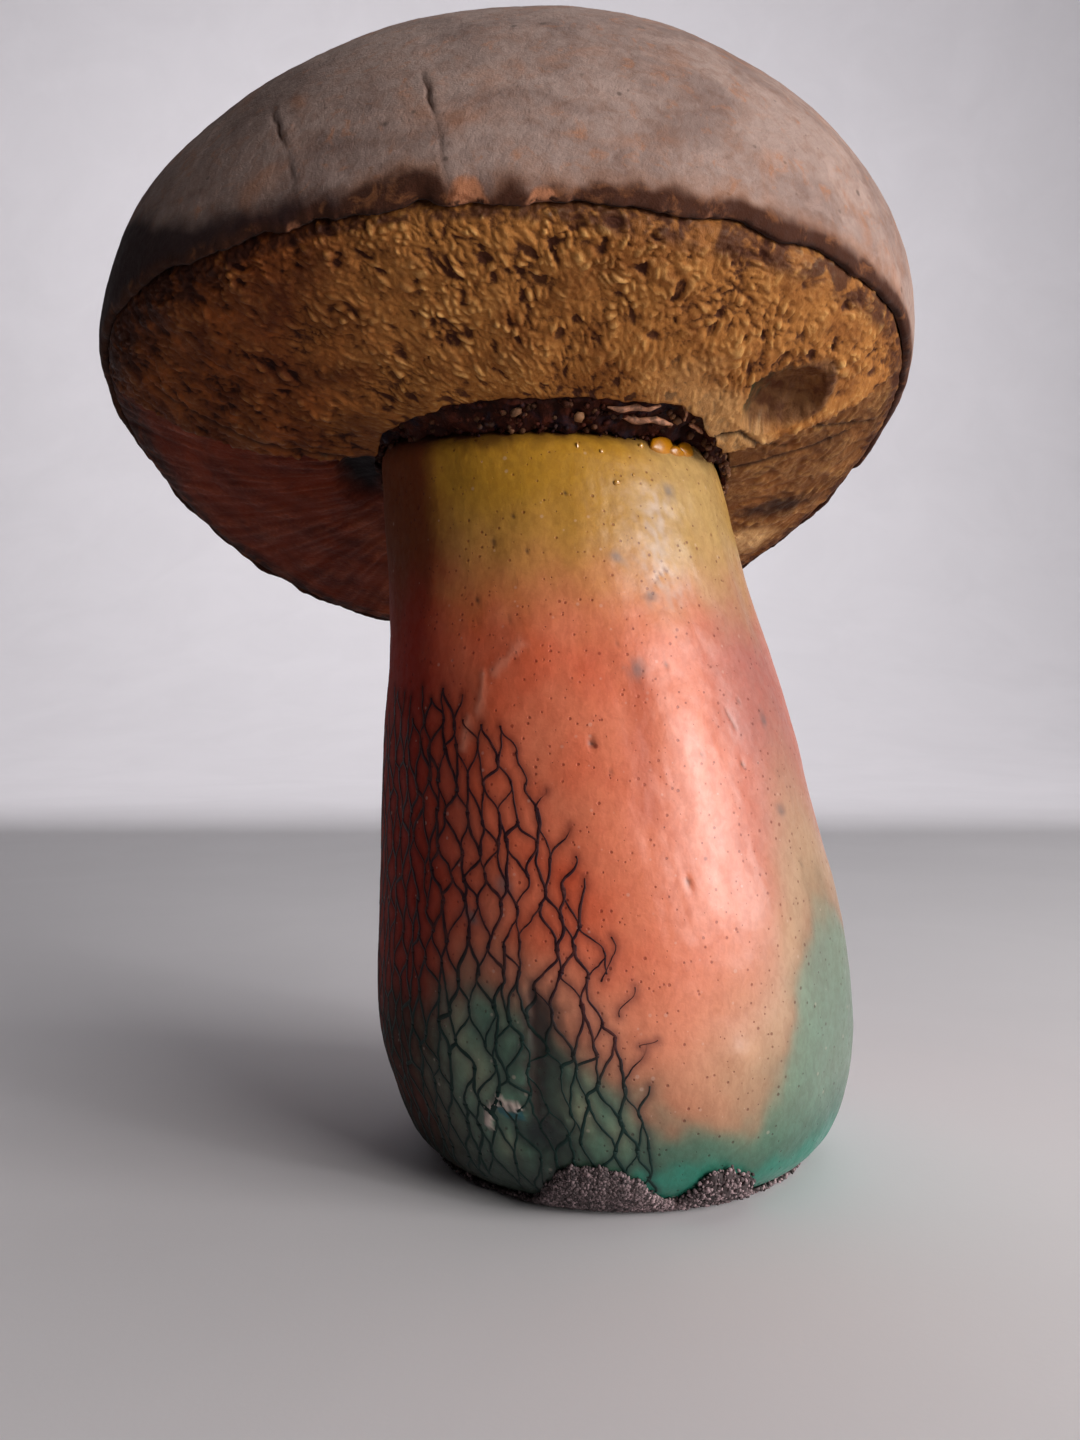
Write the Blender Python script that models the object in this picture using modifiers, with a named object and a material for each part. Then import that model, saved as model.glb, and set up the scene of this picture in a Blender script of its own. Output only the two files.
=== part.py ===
"""Bitter beech bolete standing on its flat foot: cap, pore layer, stem, seam filler and grit crust.

Metres, +Z up. The origin is the centre of the foot, the front of the mushroom looks along -Y.
The cap and the pore layer are turned about the cap's own axis, then warped a little out of round, and
tipped back on the stem. The stem is turned too and then leans to the left.
"""

import math

import bpy
import numpy as np
from mathutils import Matrix, Vector

MM = 0.001

# Cap, in its own frame: U to the right, V to the back, W up the cap's axis, W = 0 at the skin's lower edge.
CAP_CENTRE = Vector((-15.4, 0.4, 87.2)) * MM
CAP_TIP_BACK = math.radians(22.4)  # the front margin is raised
CAP_TIP_RIGHT = math.radians(2.7)
CAP_RADIUS = 47.7 * MM  # at the widest
CAP_WIDEST_HEIGHT = 8.1 * MM
CAP_HEIGHT = 48.5 * MM
MARGIN_RADIUS = 46.5 * MM  # at the skin's lower edge
MARGIN_LIP = 1.4 * MM
MARGIN_WAVE = 4.65 * MM  # the sides of the margin ride up, its front and back hang down
RECESS_DEPTH = 1.5 * MM

# Pore layer, same frame.
PORE_RADIUS = 44.7 * MM
PORE_GAP = 0.3 * MM
PORE_DEPTH = 10.8 * MM
PORE_FULLNESS = 0.6
PORE_BACK_SHARE = 0.30  # thickness of the back half over the front half
PORE_STEP_V = -8.5 * MM
PORE_STEP_SLANT = -0.09  # the step lies further forward on the right
PORE_STEP_WIDTH = 3.0 * MM
HOLE_RADIUS = 22.1 * MM
HOLE_STRETCH = 1.07  # the tipped hole is longer from front to back
HOLE_CENTRE = (7.3 * MM, 3.2 * MM)
PIT_CENTRE = (33.0 * MM, -18.3 * MM, -6.4 * MM)
PIT_RADII = (5.2 * MM, 4.6 * MM, 4.4 * MM)

# Stem stations: height, radius, sideways shift of the centre.
STEM_STATIONS = (
    (0.0, 20.0, 0.0),
    (0.7, 21.8, 0.0),
    (2.7, 24.6, 0.0),
    (6.0, 26.6, 0.1),
    (9.0, 27.6, 0.0),
    (14.0, 28.7, -0.4),
    (18.8, 29.0, -0.6),
    (24.0, 28.8, -0.9),
    (31.0, 28.1, -1.3),
    (40.4, 26.7, -2.5),
    (52.5, 25.0, -4.0),
    (60.0, 23.6, -4.9),
    (67.0, 22.4, -6.1),
    (74.5, 21.5, -7.3),
    (79.5, 20.9, -8.2),
    (82.0, 20.3, -8.9),
    (83.2, 19.6, -9.2),
    (84.0, 18.6, -9.4),
)
STEM_NECK_RADIUS = 18.0 * MM
STEM_SHOULDER = 84.0 * MM  # above it the neck leans back with the cap
STEM_SHOULDER_LIFT = 2.8 * MM  # the shoulder rises from the front to the sides
STEM_TOP_GAP = 0.6 * MM
STEM_LEAN_END = -10.6 * MM
STEM_NECK_TOP = 98.0 * MM

FOOT_HOLLOW = (-10.5 * MM, -26.6 * MM, 9.0 * MM)
FOOT_HOLLOW_RADII = (3.8 * MM, 3.0 * MM, 3.0 * MM)

FILLER_GAP = 0.35 * MM
FILLER_TOP = 0.6 * MM  # in the cap's frame
FILLER_BOTTOM = (-1.5 * MM, -5.6 * MM)  # at the back and the front, in the cap's frame

CRUST_THICKNESS = 1.3 * MM
CRUST_BOTTOM = 0.3 * MM
CRUST_BASE = 1.4 * MM
CRUST_PATCHES = ((261, 13, 4.2), (292, 9, 4.0), (35, 20, 1.2), (150, 25, 1.6))  # degrees, degrees, mm

CAP_STEPS = 56
STEM_STEPS = 54
CRUST_STEPS = 80


def clear_scene():
    for found in list(bpy.data.objects):
        bpy.data.objects.remove(found, do_unlink=True)


def new_collection(name):
    made = bpy.data.collections.new(name)
    bpy.context.scene.collection.children.link(made)
    return made


def material(name, colour, roughness):
    made = bpy.data.materials.new(name)
    made.use_nodes = True
    shader = made.node_tree.nodes["Principled BSDF"]
    shader.inputs["Base Color"].default_value = (*colour, 1.0)
    shader.inputs["Roughness"].default_value = roughness
    shader.inputs["Metallic"].default_value = 0.0
    made.diffuse_color = (*colour, 1.0)
    return made


def turned(name, profile, steps, collection, closed=False):
    """A profile of (radius, height) points turned about Z, kept as a plain mesh ready to be warped."""
    mesh = bpy.data.meshes.new(name + "_profile")
    points = [(radius, 0.0, height) for radius, height in profile]
    edges = [(i, i + 1) for i in range(len(points) - 1)]
    if closed:
        edges.append((len(points) - 1, 0))
    mesh.from_pydata(points, edges, [])
    obj = bpy.data.objects.new(name, mesh)
    collection.objects.link(obj)
    screw = obj.modifiers.new("turn", "SCREW")
    screw.axis = "Z"
    screw.steps = steps
    screw.render_steps = steps
    screw.use_merge_vertices = True
    screw.merge_threshold = 0.00001
    screw.use_normal_calculate = False
    bpy.context.view_layer.update()
    graph = bpy.context.evaluated_depsgraph_get()
    solid = bpy.data.meshes.new_from_object(obj.evaluated_get(graph))
    solid.name = name
    obj.modifiers.remove(screw)
    obj.data = solid
    bpy.data.meshes.remove(mesh)
    return obj


def warp(obj, rule):
    """Moves every vertex by a rule from its coordinate to a new one."""
    for vertex in obj.data.vertices:
        vertex.co = rule(vertex.co)
    obj.data.update()


def finish(obj, looks):
    obj.data.materials.clear()
    obj.data.materials.append(looks)
    obj.data.shade_smooth()
    obj.data.set_sharp_from_angle(angle=math.radians(50))


def out_of_round(angle):
    """How far the cap's outline stands out of a circle, as a factor on the radius."""
    return 1.0 + 0.027 * math.sin(angle) + 0.059 * math.cos(2 * angle) - 0.053 * math.sin(2 * angle)


def margin_height(angle):
    """Height of the wavy margin at an angle."""
    wave = math.cos(2 * angle) - 0.07 * math.sin(2 * angle)
    return MARGIN_WAVE * (wave + 0.17 * math.cos(4 * angle) - 0.07 * math.sin(4 * angle))


def share_of_radius(u, v):
    """Distance from the cap's axis over the margin's distance in that direction, and the direction."""
    angle = math.atan2(v, u)
    return math.hypot(u, v) / (MARGIN_RADIUS * out_of_round(angle)), angle


def smooth_step(value):
    t = min(1.0, max(0.0, value))
    return t * t * (3.0 - 2.0 * t)


def underside_wave(u, v):
    """The margin's wave, fading towards the cap's axis with the fourth power of the radius."""
    share, angle = share_of_radius(u, v)
    return margin_height(angle) * min(share, 1.05) ** 4


def pore_depth(u, v):
    """Depth of the pore surface: a cushion, thinner behind a step that runs across beside the stem."""
    share = min(share_of_radius(u, v)[0] * MARGIN_RADIUS / PORE_RADIUS, 1.0)
    depth = PORE_DEPTH * (1.0 - share * share) ** PORE_FULLNESS
    depth *= 1.0 - 0.16 * min(1.0, max(0.0, (0.62 - share) / 0.25)) ** 2
    behind = smooth_step((v - PORE_STEP_V - PORE_STEP_SLANT * u) / PORE_STEP_WIDTH + 0.5)
    return depth * (1.0 + (PORE_BACK_SHARE - 1.0) * behind)


def cap_matrix():
    """From the cap's own frame to the mushroom's: tipped back, then to the right, then set on the stem."""
    back = Matrix.Rotation(-CAP_TIP_BACK, 4, "X")
    right = Matrix.Rotation(CAP_TIP_RIGHT, 4, "Y")
    return Matrix.Translation(CAP_CENTRE) @ right @ back


def arc(centre, radii, start, end, count):
    """Points on an elliptical arc of (radius, height), both ends included."""
    found = []
    for i in range(count + 1):
        angle = start + (end - start) * i / count
        found.append((centre[0] + radii[0] * math.cos(angle), centre[1] + radii[1] * math.sin(angle)))
    return found


def make_cap(collection):
    quarter = math.pi / 2
    dome = arc(
        (0.0, CAP_WIDEST_HEIGHT), (CAP_RADIUS, CAP_HEIGHT - CAP_WIDEST_HEIGHT), quarter, 0.0, 22
    )
    dome[0] = (0.0, CAP_HEIGHT)
    roll = arc(
        (MARGIN_RADIUS, CAP_WIDEST_HEIGHT),
        (CAP_RADIUS - MARGIN_RADIUS, CAP_WIDEST_HEIGHT),
        0.0,
        -quarter,
        6,
    )[1:]
    inner = MARGIN_RADIUS - MARGIN_LIP
    lip = [(inner, 0.1 * MM), (inner - 0.1 * MM, RECESS_DEPTH)]
    ceiling = [(inner * share, RECESS_DEPTH) for share in (0.92, 0.82, 0.7, 0.55, 0.35, 0.15)]
    cap = turned("cap", dome + roll + lip + ceiling + [(0.0, RECESS_DEPTH)], CAP_STEPS, collection)

    def rule(point):
        radius = math.hypot(point.x, point.y)
        angle = math.atan2(point.y, point.x)
        out = out_of_round(angle)
        u, v = point.x * out, point.y * out
        if point.z > CAP_WIDEST_HEIGHT + 0.01 * MM:
            share = 0.5 * (radius / CAP_RADIUS) ** 8
            return Vector((u, v, point.z + share * margin_height(angle)))
        if radius > inner + 0.01 * MM:
            share = 1.0 - 0.5 * point.z / CAP_WIDEST_HEIGHT
            return Vector((u, v, point.z + share * margin_height(angle)))
        return Vector((u, v, point.z + underside_wave(u, v)))

    warp(cap, rule)
    cap.matrix_world = cap_matrix()
    finish(cap, material("cap_skin", (0.30, 0.23, 0.20), 0.85))
    return cap


def make_pore_layer(collection, cutters):
    top = RECESS_DEPTH - PORE_GAP
    shares = (1.0, 0.985, 0.95, 0.9, 0.83, 0.75, 0.67, 0.59, 0.51, 0.43, 0.35, 0.27, 0.19, 0.11, 0.04, 0.0)
    below = [(HOLE_RADIUS + (PORE_RADIUS - HOLE_RADIUS) * share, -1.0 * MM) for share in shares]
    above = [(HOLE_RADIUS + (PORE_RADIUS - HOLE_RADIUS) * share, top) for share in (0.0, 0.2, 0.4, 0.6, 0.8)]
    profile = [(PORE_RADIUS, top)] + below + above
    layer = turned("pore_layer", profile, CAP_STEPS, collection, closed=True)

    def rule(point):
        radius = math.hypot(point.x, point.y)
        angle = math.atan2(point.y, point.x)
        share = (radius - HOLE_RADIUS) / (PORE_RADIUS - HOLE_RADIUS)
        out = 1.0 + (out_of_round(angle) - 1.0) * share
        u = point.x * out + HOLE_CENTRE[0] * (1.0 - share)
        stretch = HOLE_STRETCH + (1.0 - HOLE_STRETCH) * share
        v = point.y * out * stretch + HOLE_CENTRE[1] * (1.0 - share)
        w = point.z if point.z > 0.0 else -pore_depth(u, v)
        return Vector((u, v, w + underside_wave(u, v)))

    warp(layer, rule)
    layer.matrix_world = cap_matrix()
    finish(layer, material("pore_surface", (0.42, 0.24, 0.09), 0.75))

    bpy.ops.mesh.primitive_uv_sphere_add(segments=24, ring_count=12, radius=1.0)
    pit = bpy.context.object
    pit.name = "pit_cutter"
    for old in list(pit.users_collection):
        old.objects.unlink(pit)
    cutters.objects.link(pit)
    pit.data.transform(Matrix.Diagonal((*PIT_RADII, 1.0)))
    pit.matrix_world = cap_matrix() @ Matrix.Translation(PIT_CENTRE)
    pit.hide_render = True
    pit.display_type = "WIRE"
    cut = layer.modifiers.new("pit", "BOOLEAN")
    cut.operation = "DIFFERENCE"
    cut.object = pit
    return layer


def station(height, column):
    """Radius or sideways shift of the stem at a height, on a smooth curve through the stations."""
    rows = np.array(STEM_STATIONS)
    z, values = rows[:, 0], rows[:, column]
    slopes = np.gradient(values, z)
    i = int(np.clip(np.searchsorted(z, height) - 1, 0, len(z) - 2))
    span = z[i + 1] - z[i]
    t = (height - z[i]) / span
    return float(
        values[i] * (1 + 2 * t) * (1 - t) ** 2
        + slopes[i] * span * t * (1 - t) ** 2
        + values[i + 1] * t * t * (3 - 2 * t)
        + slopes[i + 1] * span * t * t * (t - 1)
    )


def stem_shift(height):
    """Sideways shift of the stem's centre, in metres."""
    last = STEM_STATIONS[-1]
    if height <= last[0] * MM:
        return station(height / MM, 2) * MM
    along = (height - last[0] * MM) / (STEM_NECK_TOP - last[0] * MM)
    return last[2] * MM + (STEM_LEAN_END - last[2] * MM) * along


def stem_radius(height):
    """Radius of the stem at a height, in metres."""
    if height >= STEM_SHOULDER:
        return max(STEM_NECK_RADIUS, (18.6 * MM + STEM_SHOULDER - height))
    return station(height / MM, 1) * MM


def leaned(point):
    """A point of the upright turned stem, moved with the lean of the real one."""
    back = max(0.0, point.z - STEM_SHOULDER) * math.tan(CAP_TIP_BACK)
    side = smooth_step(1.0 + point.y / max(math.hypot(point.x, point.y), MM))
    near_top = smooth_step((point.z - STEM_SHOULDER + 8 * MM) / (7 * MM))
    height = point.z + STEM_SHOULDER_LIFT * side * near_top
    return Vector((point.x + stem_shift(point.z), point.y + back, height))


def make_stem(collection, cutters):
    heights = [0.0, 0.35, 0.7, 1.6, 2.6, 3.6, 5.2, 7.0, 8.8, 11.8, 15.0, 18.5, 22.0, 27.0, 32.0, 37.0, 42.0]
    heights += [47.0, 52.5, 57.0, 62.0, 67.0, 71.0, 75.0, 78.0, 80.5, 82.0, 82.8, 83.4, 84.0, 84.6, 88.0, 93.0]
    side = [(stem_radius(height * MM), height * MM) for height in heights]
    profile = [(0.0, 0.0)] + side + [(STEM_NECK_RADIUS, STEM_NECK_TOP), (0.0, STEM_NECK_TOP)]
    stem = turned("stem", profile[::-1], STEM_STEPS, collection)
    warp(stem, leaned)
    finish(stem, material("stem_paint", (0.62, 0.20, 0.11), 0.30))

    # The top of the stem is cut parallel to the underside of the cap.
    bpy.ops.mesh.primitive_cube_add(size=1.0)
    plane = bpy.context.object
    plane.name = "stem_top_cutter"
    for old in list(plane.users_collection):
        old.objects.unlink(plane)
    cutters.objects.link(plane)
    plane.data.transform(Matrix.Diagonal((90 * MM, 90 * MM, 40 * MM, 1.0)))
    lift = RECESS_DEPTH - STEM_TOP_GAP + 20 * MM
    plane.matrix_world = cap_matrix() @ Matrix.Translation((0.0, 0.0, lift))
    plane.hide_render = True
    plane.display_type = "WIRE"
    cut = stem.modifiers.new("top", "BOOLEAN")
    cut.operation = "DIFFERENCE"
    cut.object = plane

    bpy.ops.mesh.primitive_uv_sphere_add(segments=16, ring_count=8, radius=1.0)
    hollow = bpy.context.object
    hollow.name = "foot_hollow_cutter"
    for old in list(hollow.users_collection):
        old.objects.unlink(hollow)
    cutters.objects.link(hollow)
    hollow.data.transform(Matrix.Diagonal((*FOOT_HOLLOW_RADII, 1.0)))
    hollow.matrix_world = Matrix.Translation(FOOT_HOLLOW)
    hollow.hide_render = True
    hollow.display_type = "WIRE"
    cut = stem.modifiers.new("foot_hollow", "BOOLEAN")
    cut.operation = "DIFFERENCE"
    cut.object = hollow
    return stem


def clear_of_stem(point):
    """Distance from a point to the side of the leaning stem, negative inside."""
    flat = max(math.hypot(point.x + 9.0 * MM, point.y), MM)
    side = smooth_step(1.0 + point.y / flat)
    near_top = smooth_step((point.z - STEM_SHOULDER + 6 * MM) / (7 * MM))
    height = point.z - STEM_SHOULDER_LIFT * side * near_top
    back = max(0.0, height - STEM_SHOULDER) * math.tan(CAP_TIP_BACK)
    return math.hypot(point.x - stem_shift(height), point.y - back) - stem_radius(height)


def make_seam_filler(collection):
    """Filler packed between the top of the stem and the hole in the pore layer, in the cap's frame."""
    profile = [(2.0, 1.0), (2.0, 0.75), (2.0, 0.5), (2.0, 0.25), (1.95, 0.05), (1.5, 0.0), (1.05, 0.05)]
    profile += [(1.0, 0.25), (1.0, 0.5), (1.0, 0.75), (1.0, 1.0)]
    filler = turned("seam_filler", profile, CAP_STEPS, collection, closed=True)
    placed = cap_matrix()

    def rule(point):
        angle = math.atan2(point.y, point.x)
        front = 1.0 - smooth_step(0.5 + 0.6 * math.sin(angle))
        low = FILLER_BOTTOM[0] + (FILLER_BOTTOM[1] - FILLER_BOTTOM[0]) * front
        w = low + (FILLER_TOP - low) * point.z
        along = Vector((math.cos(angle), HOLE_STRETCH * math.sin(angle), 0.0))
        centre = Vector((HOLE_CENTRE[0], HOLE_CENTRE[1], w))
        inside, outer = 8.0 * MM, HOLE_RADIUS - FILLER_GAP
        outside = outer
        for _ in range(30):
            middle = (inside + outside) / 2
            if clear_of_stem(placed @ (centre + along * middle)) < FILLER_GAP + 0.1 * MM:
                inside = middle
            else:
                outside = middle
        share = math.hypot(point.x, point.y) - 1.0
        return centre + along * (outside + (outer - outside) * share)

    warp(filler, rule)
    filler.matrix_world = placed
    finish(filler, material("torn_filler", (0.10, 0.04, 0.035), 0.6))
    return filler


def make_grit_crust(collection):
    """A crust on the foot of the stem, with an uneven upper edge."""
    rows = 4
    outer = [(2.0, 1.0 - i / rows) for i in range(rows + 1)]
    inner = [(1.0, i / rows) for i in range(rows + 1)]
    crust = turned("grit_crust", outer + inner, CRUST_STEPS, collection, closed=True)

    def rule(point):
        angle = math.atan2(point.y, point.x)
        out = math.hypot(point.x, point.y) - 1.0
        tall = CRUST_BASE * (1.0 + 0.25 * math.sin(7 * angle) + 0.15 * math.sin(13 * angle))
        for middle, width, extra in CRUST_PATCHES:
            apart = (math.degrees(angle) - middle + 180.0) % 360.0 - 180.0
            tall += extra * MM * math.exp(-((apart / width) ** 2))
        top = CRUST_BOTTOM + tall
        height = CRUST_BOTTOM + (top - CRUST_BOTTOM) * point.z
        skin = station(height / MM, 1) * MM
        grown = 1.0 + 0.18 * math.sin(9 * angle) * point.z
        taper = 1.0 - 0.75 * point.z ** 3
        radius = skin + 0.3 * MM + out * CRUST_THICKNESS * taper * grown
        return leaned(Vector((radius * math.cos(angle), radius * math.sin(angle), height)))

    warp(crust, rule)
    finish(crust, material("grit", (0.27, 0.22, 0.24), 0.95))
    return crust


def main():
    clear_scene()
    parts = new_collection("bitter_beech_bolete")
    cutters = new_collection("cutters")
    make_cap(parts)
    make_pore_layer(parts, cutters)
    make_stem(parts, cutters)
    make_seam_filler(parts)
    make_grit_crust(parts)
    bpy.context.view_layer.update()


main()
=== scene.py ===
"""Looks of a bitter beech bolete: skin, pore surface, painted stem with its net, torn seam and grit.

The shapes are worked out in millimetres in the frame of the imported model, +Z up, front to -Y, and become
metres when a mesh is made. The cap and the pore surface are worked out in the cap's own frame: U to the
right, V to the back, W up the cap's axis, W = 0 at the skin's lower edge.
"""

import math

import bpy
import numpy as np
from bpy.props import FloatProperty, FloatVectorProperty, IntProperty, PointerProperty
from bpy.types import Operator, Panel, PropertyGroup
from mathutils import Matrix
from mathutils.kdtree import KDTree


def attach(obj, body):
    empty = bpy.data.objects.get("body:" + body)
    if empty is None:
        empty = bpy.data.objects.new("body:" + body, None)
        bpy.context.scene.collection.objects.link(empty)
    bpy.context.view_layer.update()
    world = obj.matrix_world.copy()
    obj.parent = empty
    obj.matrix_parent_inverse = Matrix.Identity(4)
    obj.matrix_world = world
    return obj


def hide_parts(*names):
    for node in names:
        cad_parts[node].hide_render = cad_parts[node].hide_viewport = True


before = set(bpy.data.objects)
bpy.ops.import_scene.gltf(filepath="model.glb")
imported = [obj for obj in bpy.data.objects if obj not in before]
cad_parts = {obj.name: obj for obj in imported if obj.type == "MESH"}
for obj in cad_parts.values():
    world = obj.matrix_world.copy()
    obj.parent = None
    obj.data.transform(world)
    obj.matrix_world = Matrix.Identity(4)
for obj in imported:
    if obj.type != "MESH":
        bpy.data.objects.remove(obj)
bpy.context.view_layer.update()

bl_info = {
    "name": "Bitter beech bolete",
    "version": (1, 0, 0),
    "blender": (4, 5, 0),
    "location": "View3D > Sidebar > Bolete",
    "description": "Detailed pieces, materials and stage for a bitter beech bolete",
    "category": "Add Mesh",
}

MM = 0.001
BODY = "root"
TURN = 2 * math.pi

# Columns round each piece.
SKIN_COLUMNS, PORE_COLUMNS, STEM_COLUMNS, FILLER_COLUMNS, CRUST_COLUMNS = 640, 720, 520, 320, 560
# Radii in mm of the cylinders on which random fields go round the pieces.
CAP_FIELD, HOLE_FIELD, CRUST_FIELD, STEM_FIELD = 46.0, 22.0, 26.0, 28.0

# Cap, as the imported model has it.
CAP_CENTRE = np.array((-15.4, 0.4, 87.2))
CAP_TIP_BACK = math.radians(22.4)
CAP_TIP_RIGHT = math.radians(2.7)
CAP_TURN = np.array(Matrix.Rotation(CAP_TIP_RIGHT, 3, "Y") @ Matrix.Rotation(-CAP_TIP_BACK, 3, "X"))
CAP_RADIUS = 47.7
CAP_WIDEST_HEIGHT = 8.1
CAP_HEIGHT = 48.5
MARGIN_RADIUS = 46.5
MARGIN_LIP = 1.4
MARGIN_WAVE = 4.65
RECESS_DEPTH = 1.5

# Pore layer.
PORE_RADIUS = 45.95
PORE_TOP = 1.2
PORE_DEPTH = 10.8
PORE_FULLNESS = 0.6
PORE_BACK_SHARE = 0.30
PORE_STEP_V = -8.5
PORE_STEP_SLANT = -0.09
HOLE_RADIUS = 22.1
HOLE_STRETCH = 1.07
HOLE_CENTRE = (7.3, 3.2)
PIT_CENTRE = (33.0, -18.3, -6.4)
PIT_RADII = (5.2, 4.6, 4.4)

# Stem stations: height, radius, sideways shift of the centre.
STEM_STATIONS = np.array(
    (
        (0.0, 20.0, 0.0),
        (0.7, 21.8, 0.0),
        (2.7, 24.6, 0.0),
        (6.0, 26.6, 0.1),
        (9.0, 27.6, 0.0),
        (14.0, 28.7, -0.4),
        (18.8, 29.0, -0.6),
        (24.0, 28.8, -0.9),
        (31.0, 28.1, -1.3),
        (40.4, 26.7, -2.5),
        (52.5, 25.0, -4.0),
        (60.0, 23.6, -4.9),
        (67.0, 22.4, -6.1),
        (74.5, 21.5, -7.3),
        (79.5, 20.9, -8.2),
        (82.0, 20.3, -8.9),
        (83.2, 19.6, -9.2),
        (84.0, 18.6, -9.4),
    )
)
STEM_NECK_RADIUS = 18.0
STEM_SHOULDER = 84.0
STEM_SHOULDER_LIFT = 2.8
STEM_TOP_W = 0.9
STEM_LEAN_END = -10.6
STEM_NECK_TOP = 98.0
# Heights of the stem's rows: end of the even rows, close rows over the shoulder, and two heights between which
# the line of the neck's side is taken.
SIDE_TOP = 83.0
SHOULDER_ROWS = (83.4, 83.7, 84.0, 84.35, 84.7)
NECK_PROBES = (88.0, 92.0)

FILLER_GAP = 0.35
FILLER_TOP = 0.6
FILLER_BOTTOM = (-1.5, -5.6)

CRUST_THICKNESS = 1.3
CRUST_BOTTOM = 0.3
CRUST_BASE = 1.4
CRUST_PATCHES = ((261, 13, 4.2), (292, 9, 4.0))  # degrees, half width in degrees, height in mm


# Settings ---------------------------------------------------------------------------------------


def length_property(name, description, default, low=0.0):
    """A size in metres, given here in millimetres."""
    return FloatProperty(
        name=name, description=description, default=default * MM, min=low * MM, precision=5,
        subtype="DISTANCE", unit="LENGTH",
    )


def colour_property(name, description, default):
    """A linear colour."""
    return FloatVectorProperty(
        name=name, description=description, default=default, min=0.0, max=1.0, size=3, subtype="COLOR",
    )


class CapSettings(PropertyGroup):
    swell: length_property("Swell", "Height of the skin's broad swells", 0.28)
    ragged: length_property("Ragged edge", "How far the skin's lower edge wanders", 0.60)
    wrinkle: length_property("Wrinkle", "Depth of the two split wrinkles", 0.26)
    skin: colour_property("Skin", "Main colour of the skin", (0.335, 0.240, 0.205))
    skin_dark: colour_property("Skin, dark", "Darker clouds in the skin", (0.205, 0.138, 0.118))
    rust: colour_property("Rust", "Rusty blotches and flakes", (0.400, 0.150, 0.055))
    edge: colour_property("Edge", "Stained band at the skin's lower edge", (0.046, 0.014, 0.006))


class PoreSettings(PropertyGroup):
    lump: length_property("Lump", "Spacing of the lumps of the pore surface", 1.25)
    relief: length_property("Relief", "Height of the lumps over the pits", 0.75)
    ridge: colour_property("Ridge", "Tops of the lumps", (0.560, 0.300, 0.092))
    middle: colour_property("Middle", "Between tops and pits", (0.345, 0.136, 0.030))
    pit: colour_property("Pit", "Bottoms of the pits", (0.062, 0.018, 0.007))
    # The back half's darker brown stands partly for the shade under the cap.
    back: colour_property("Back half", "The thinner half behind the step", (0.185, 0.070, 0.020))


class StemSettings(PropertyGroup):
    swell: length_property("Swell", "Height of the stem's broad swells", 0.28)
    olive: colour_property("Olive", "Top of the stem", (0.400, 0.200, 0.018))
    ochre: colour_property("Ochre", "Under the olive", (0.480, 0.235, 0.062))
    salmon: colour_property("Salmon", "Middle of the stem", (0.660, 0.185, 0.095))
    coral: colour_property("Coral", "Redder clouds in the salmon", (0.600, 0.085, 0.030))
    # Dark left side: maroon is partly the net's paint and partly painted shade; umber, over the net, is painted
    # shade.
    maroon_and_shade: colour_property("Maroon", "Dark side under the net", (0.270, 0.013, 0.006))
    umber_painted_shade: colour_property("Umber", "Dark side over the net", (0.120, 0.013, 0.002))
    cream: colour_property("Cream", "Between the salmon and the green", (0.420, 0.300, 0.180))
    green: colour_property("Green", "Foot of the stem", (0.055, 0.205, 0.140))
    deep_green: colour_property("Deep green", "Darker clouds in the green", (0.016, 0.080, 0.058))


class NetSettings(PropertyGroup):
    cell_width: length_property("Cell width", "Width of the net's cells", 2.40, 0.5)
    cell_height: length_property("Cell height", "Height of the net's cells", 6.6, 1.0)
    line: length_property("Line", "Width of a painted line", 0.48)
    ink: colour_property("Line colour", "The painted lines", (0.026, 0.007, 0.010))


class SeamSettings(PropertyGroup):
    crumble: length_property("Crumble", "Height of the filler's lumps", 0.75)
    rubble: IntProperty(name="Rubble", description="Number of crumbs in the seam", default=900, min=10)
    filler: colour_property("Filler", "Dark torn filler in the seam", (0.032, 0.007, 0.004))
    bead: colour_property("Bead", "Palest crumbs", (0.240, 0.120, 0.060))
    flake: colour_property("Flake", "Torn flakes", (0.430, 0.185, 0.095))
    yellow: colour_property("Yellow paint", "Thick drop of paint on the shoulder", (0.440, 0.165, 0.0005))


class GritSettings(PropertyGroup):
    grain: length_property("Grain", "Radius of a middling grain", 0.20, 0.05)
    count: IntProperty(name="Grains", description="Number of grains", default=7000, min=10)
    light: colour_property("Light grain", "The palest grains", (0.470, 0.330, 0.345))
    dark: colour_property("Dark grain", "The darkest grains", (0.010, 0.005, 0.006))


class StageSettings(PropertyGroup):
    floor: colour_property("Floor", "Floor and backdrop", (0.760, 0.745, 0.770))
    window: FloatProperty(name="Window", description="Power of the window light", default=5.6, unit="POWER")
    ceiling: FloatProperty(
        name="Ceiling", description="Power of the light from above", default=3.7, unit="POWER",
    )
    backdrop: FloatProperty(
        name="Backdrop", description="Power of the backdrop's light", default=17.0, unit="POWER",
    )
    fill: FloatProperty(name="Fill", description="Strength of the light from all sides", default=0.02)


class BoleteSettings(PropertyGroup):
    cap: PointerProperty(type=CapSettings)
    pores: PointerProperty(type=PoreSettings)
    stem: PointerProperty(type=StemSettings)
    net: PointerProperty(type=NetSettings)
    seam: PointerProperty(type=SeamSettings)
    grit: PointerProperty(type=GritSettings)
    stage: PointerProperty(type=StageSettings)


# Random fields ----------------------------------------------------------------------------------

BITS = 0xFFFFFFFF


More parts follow.
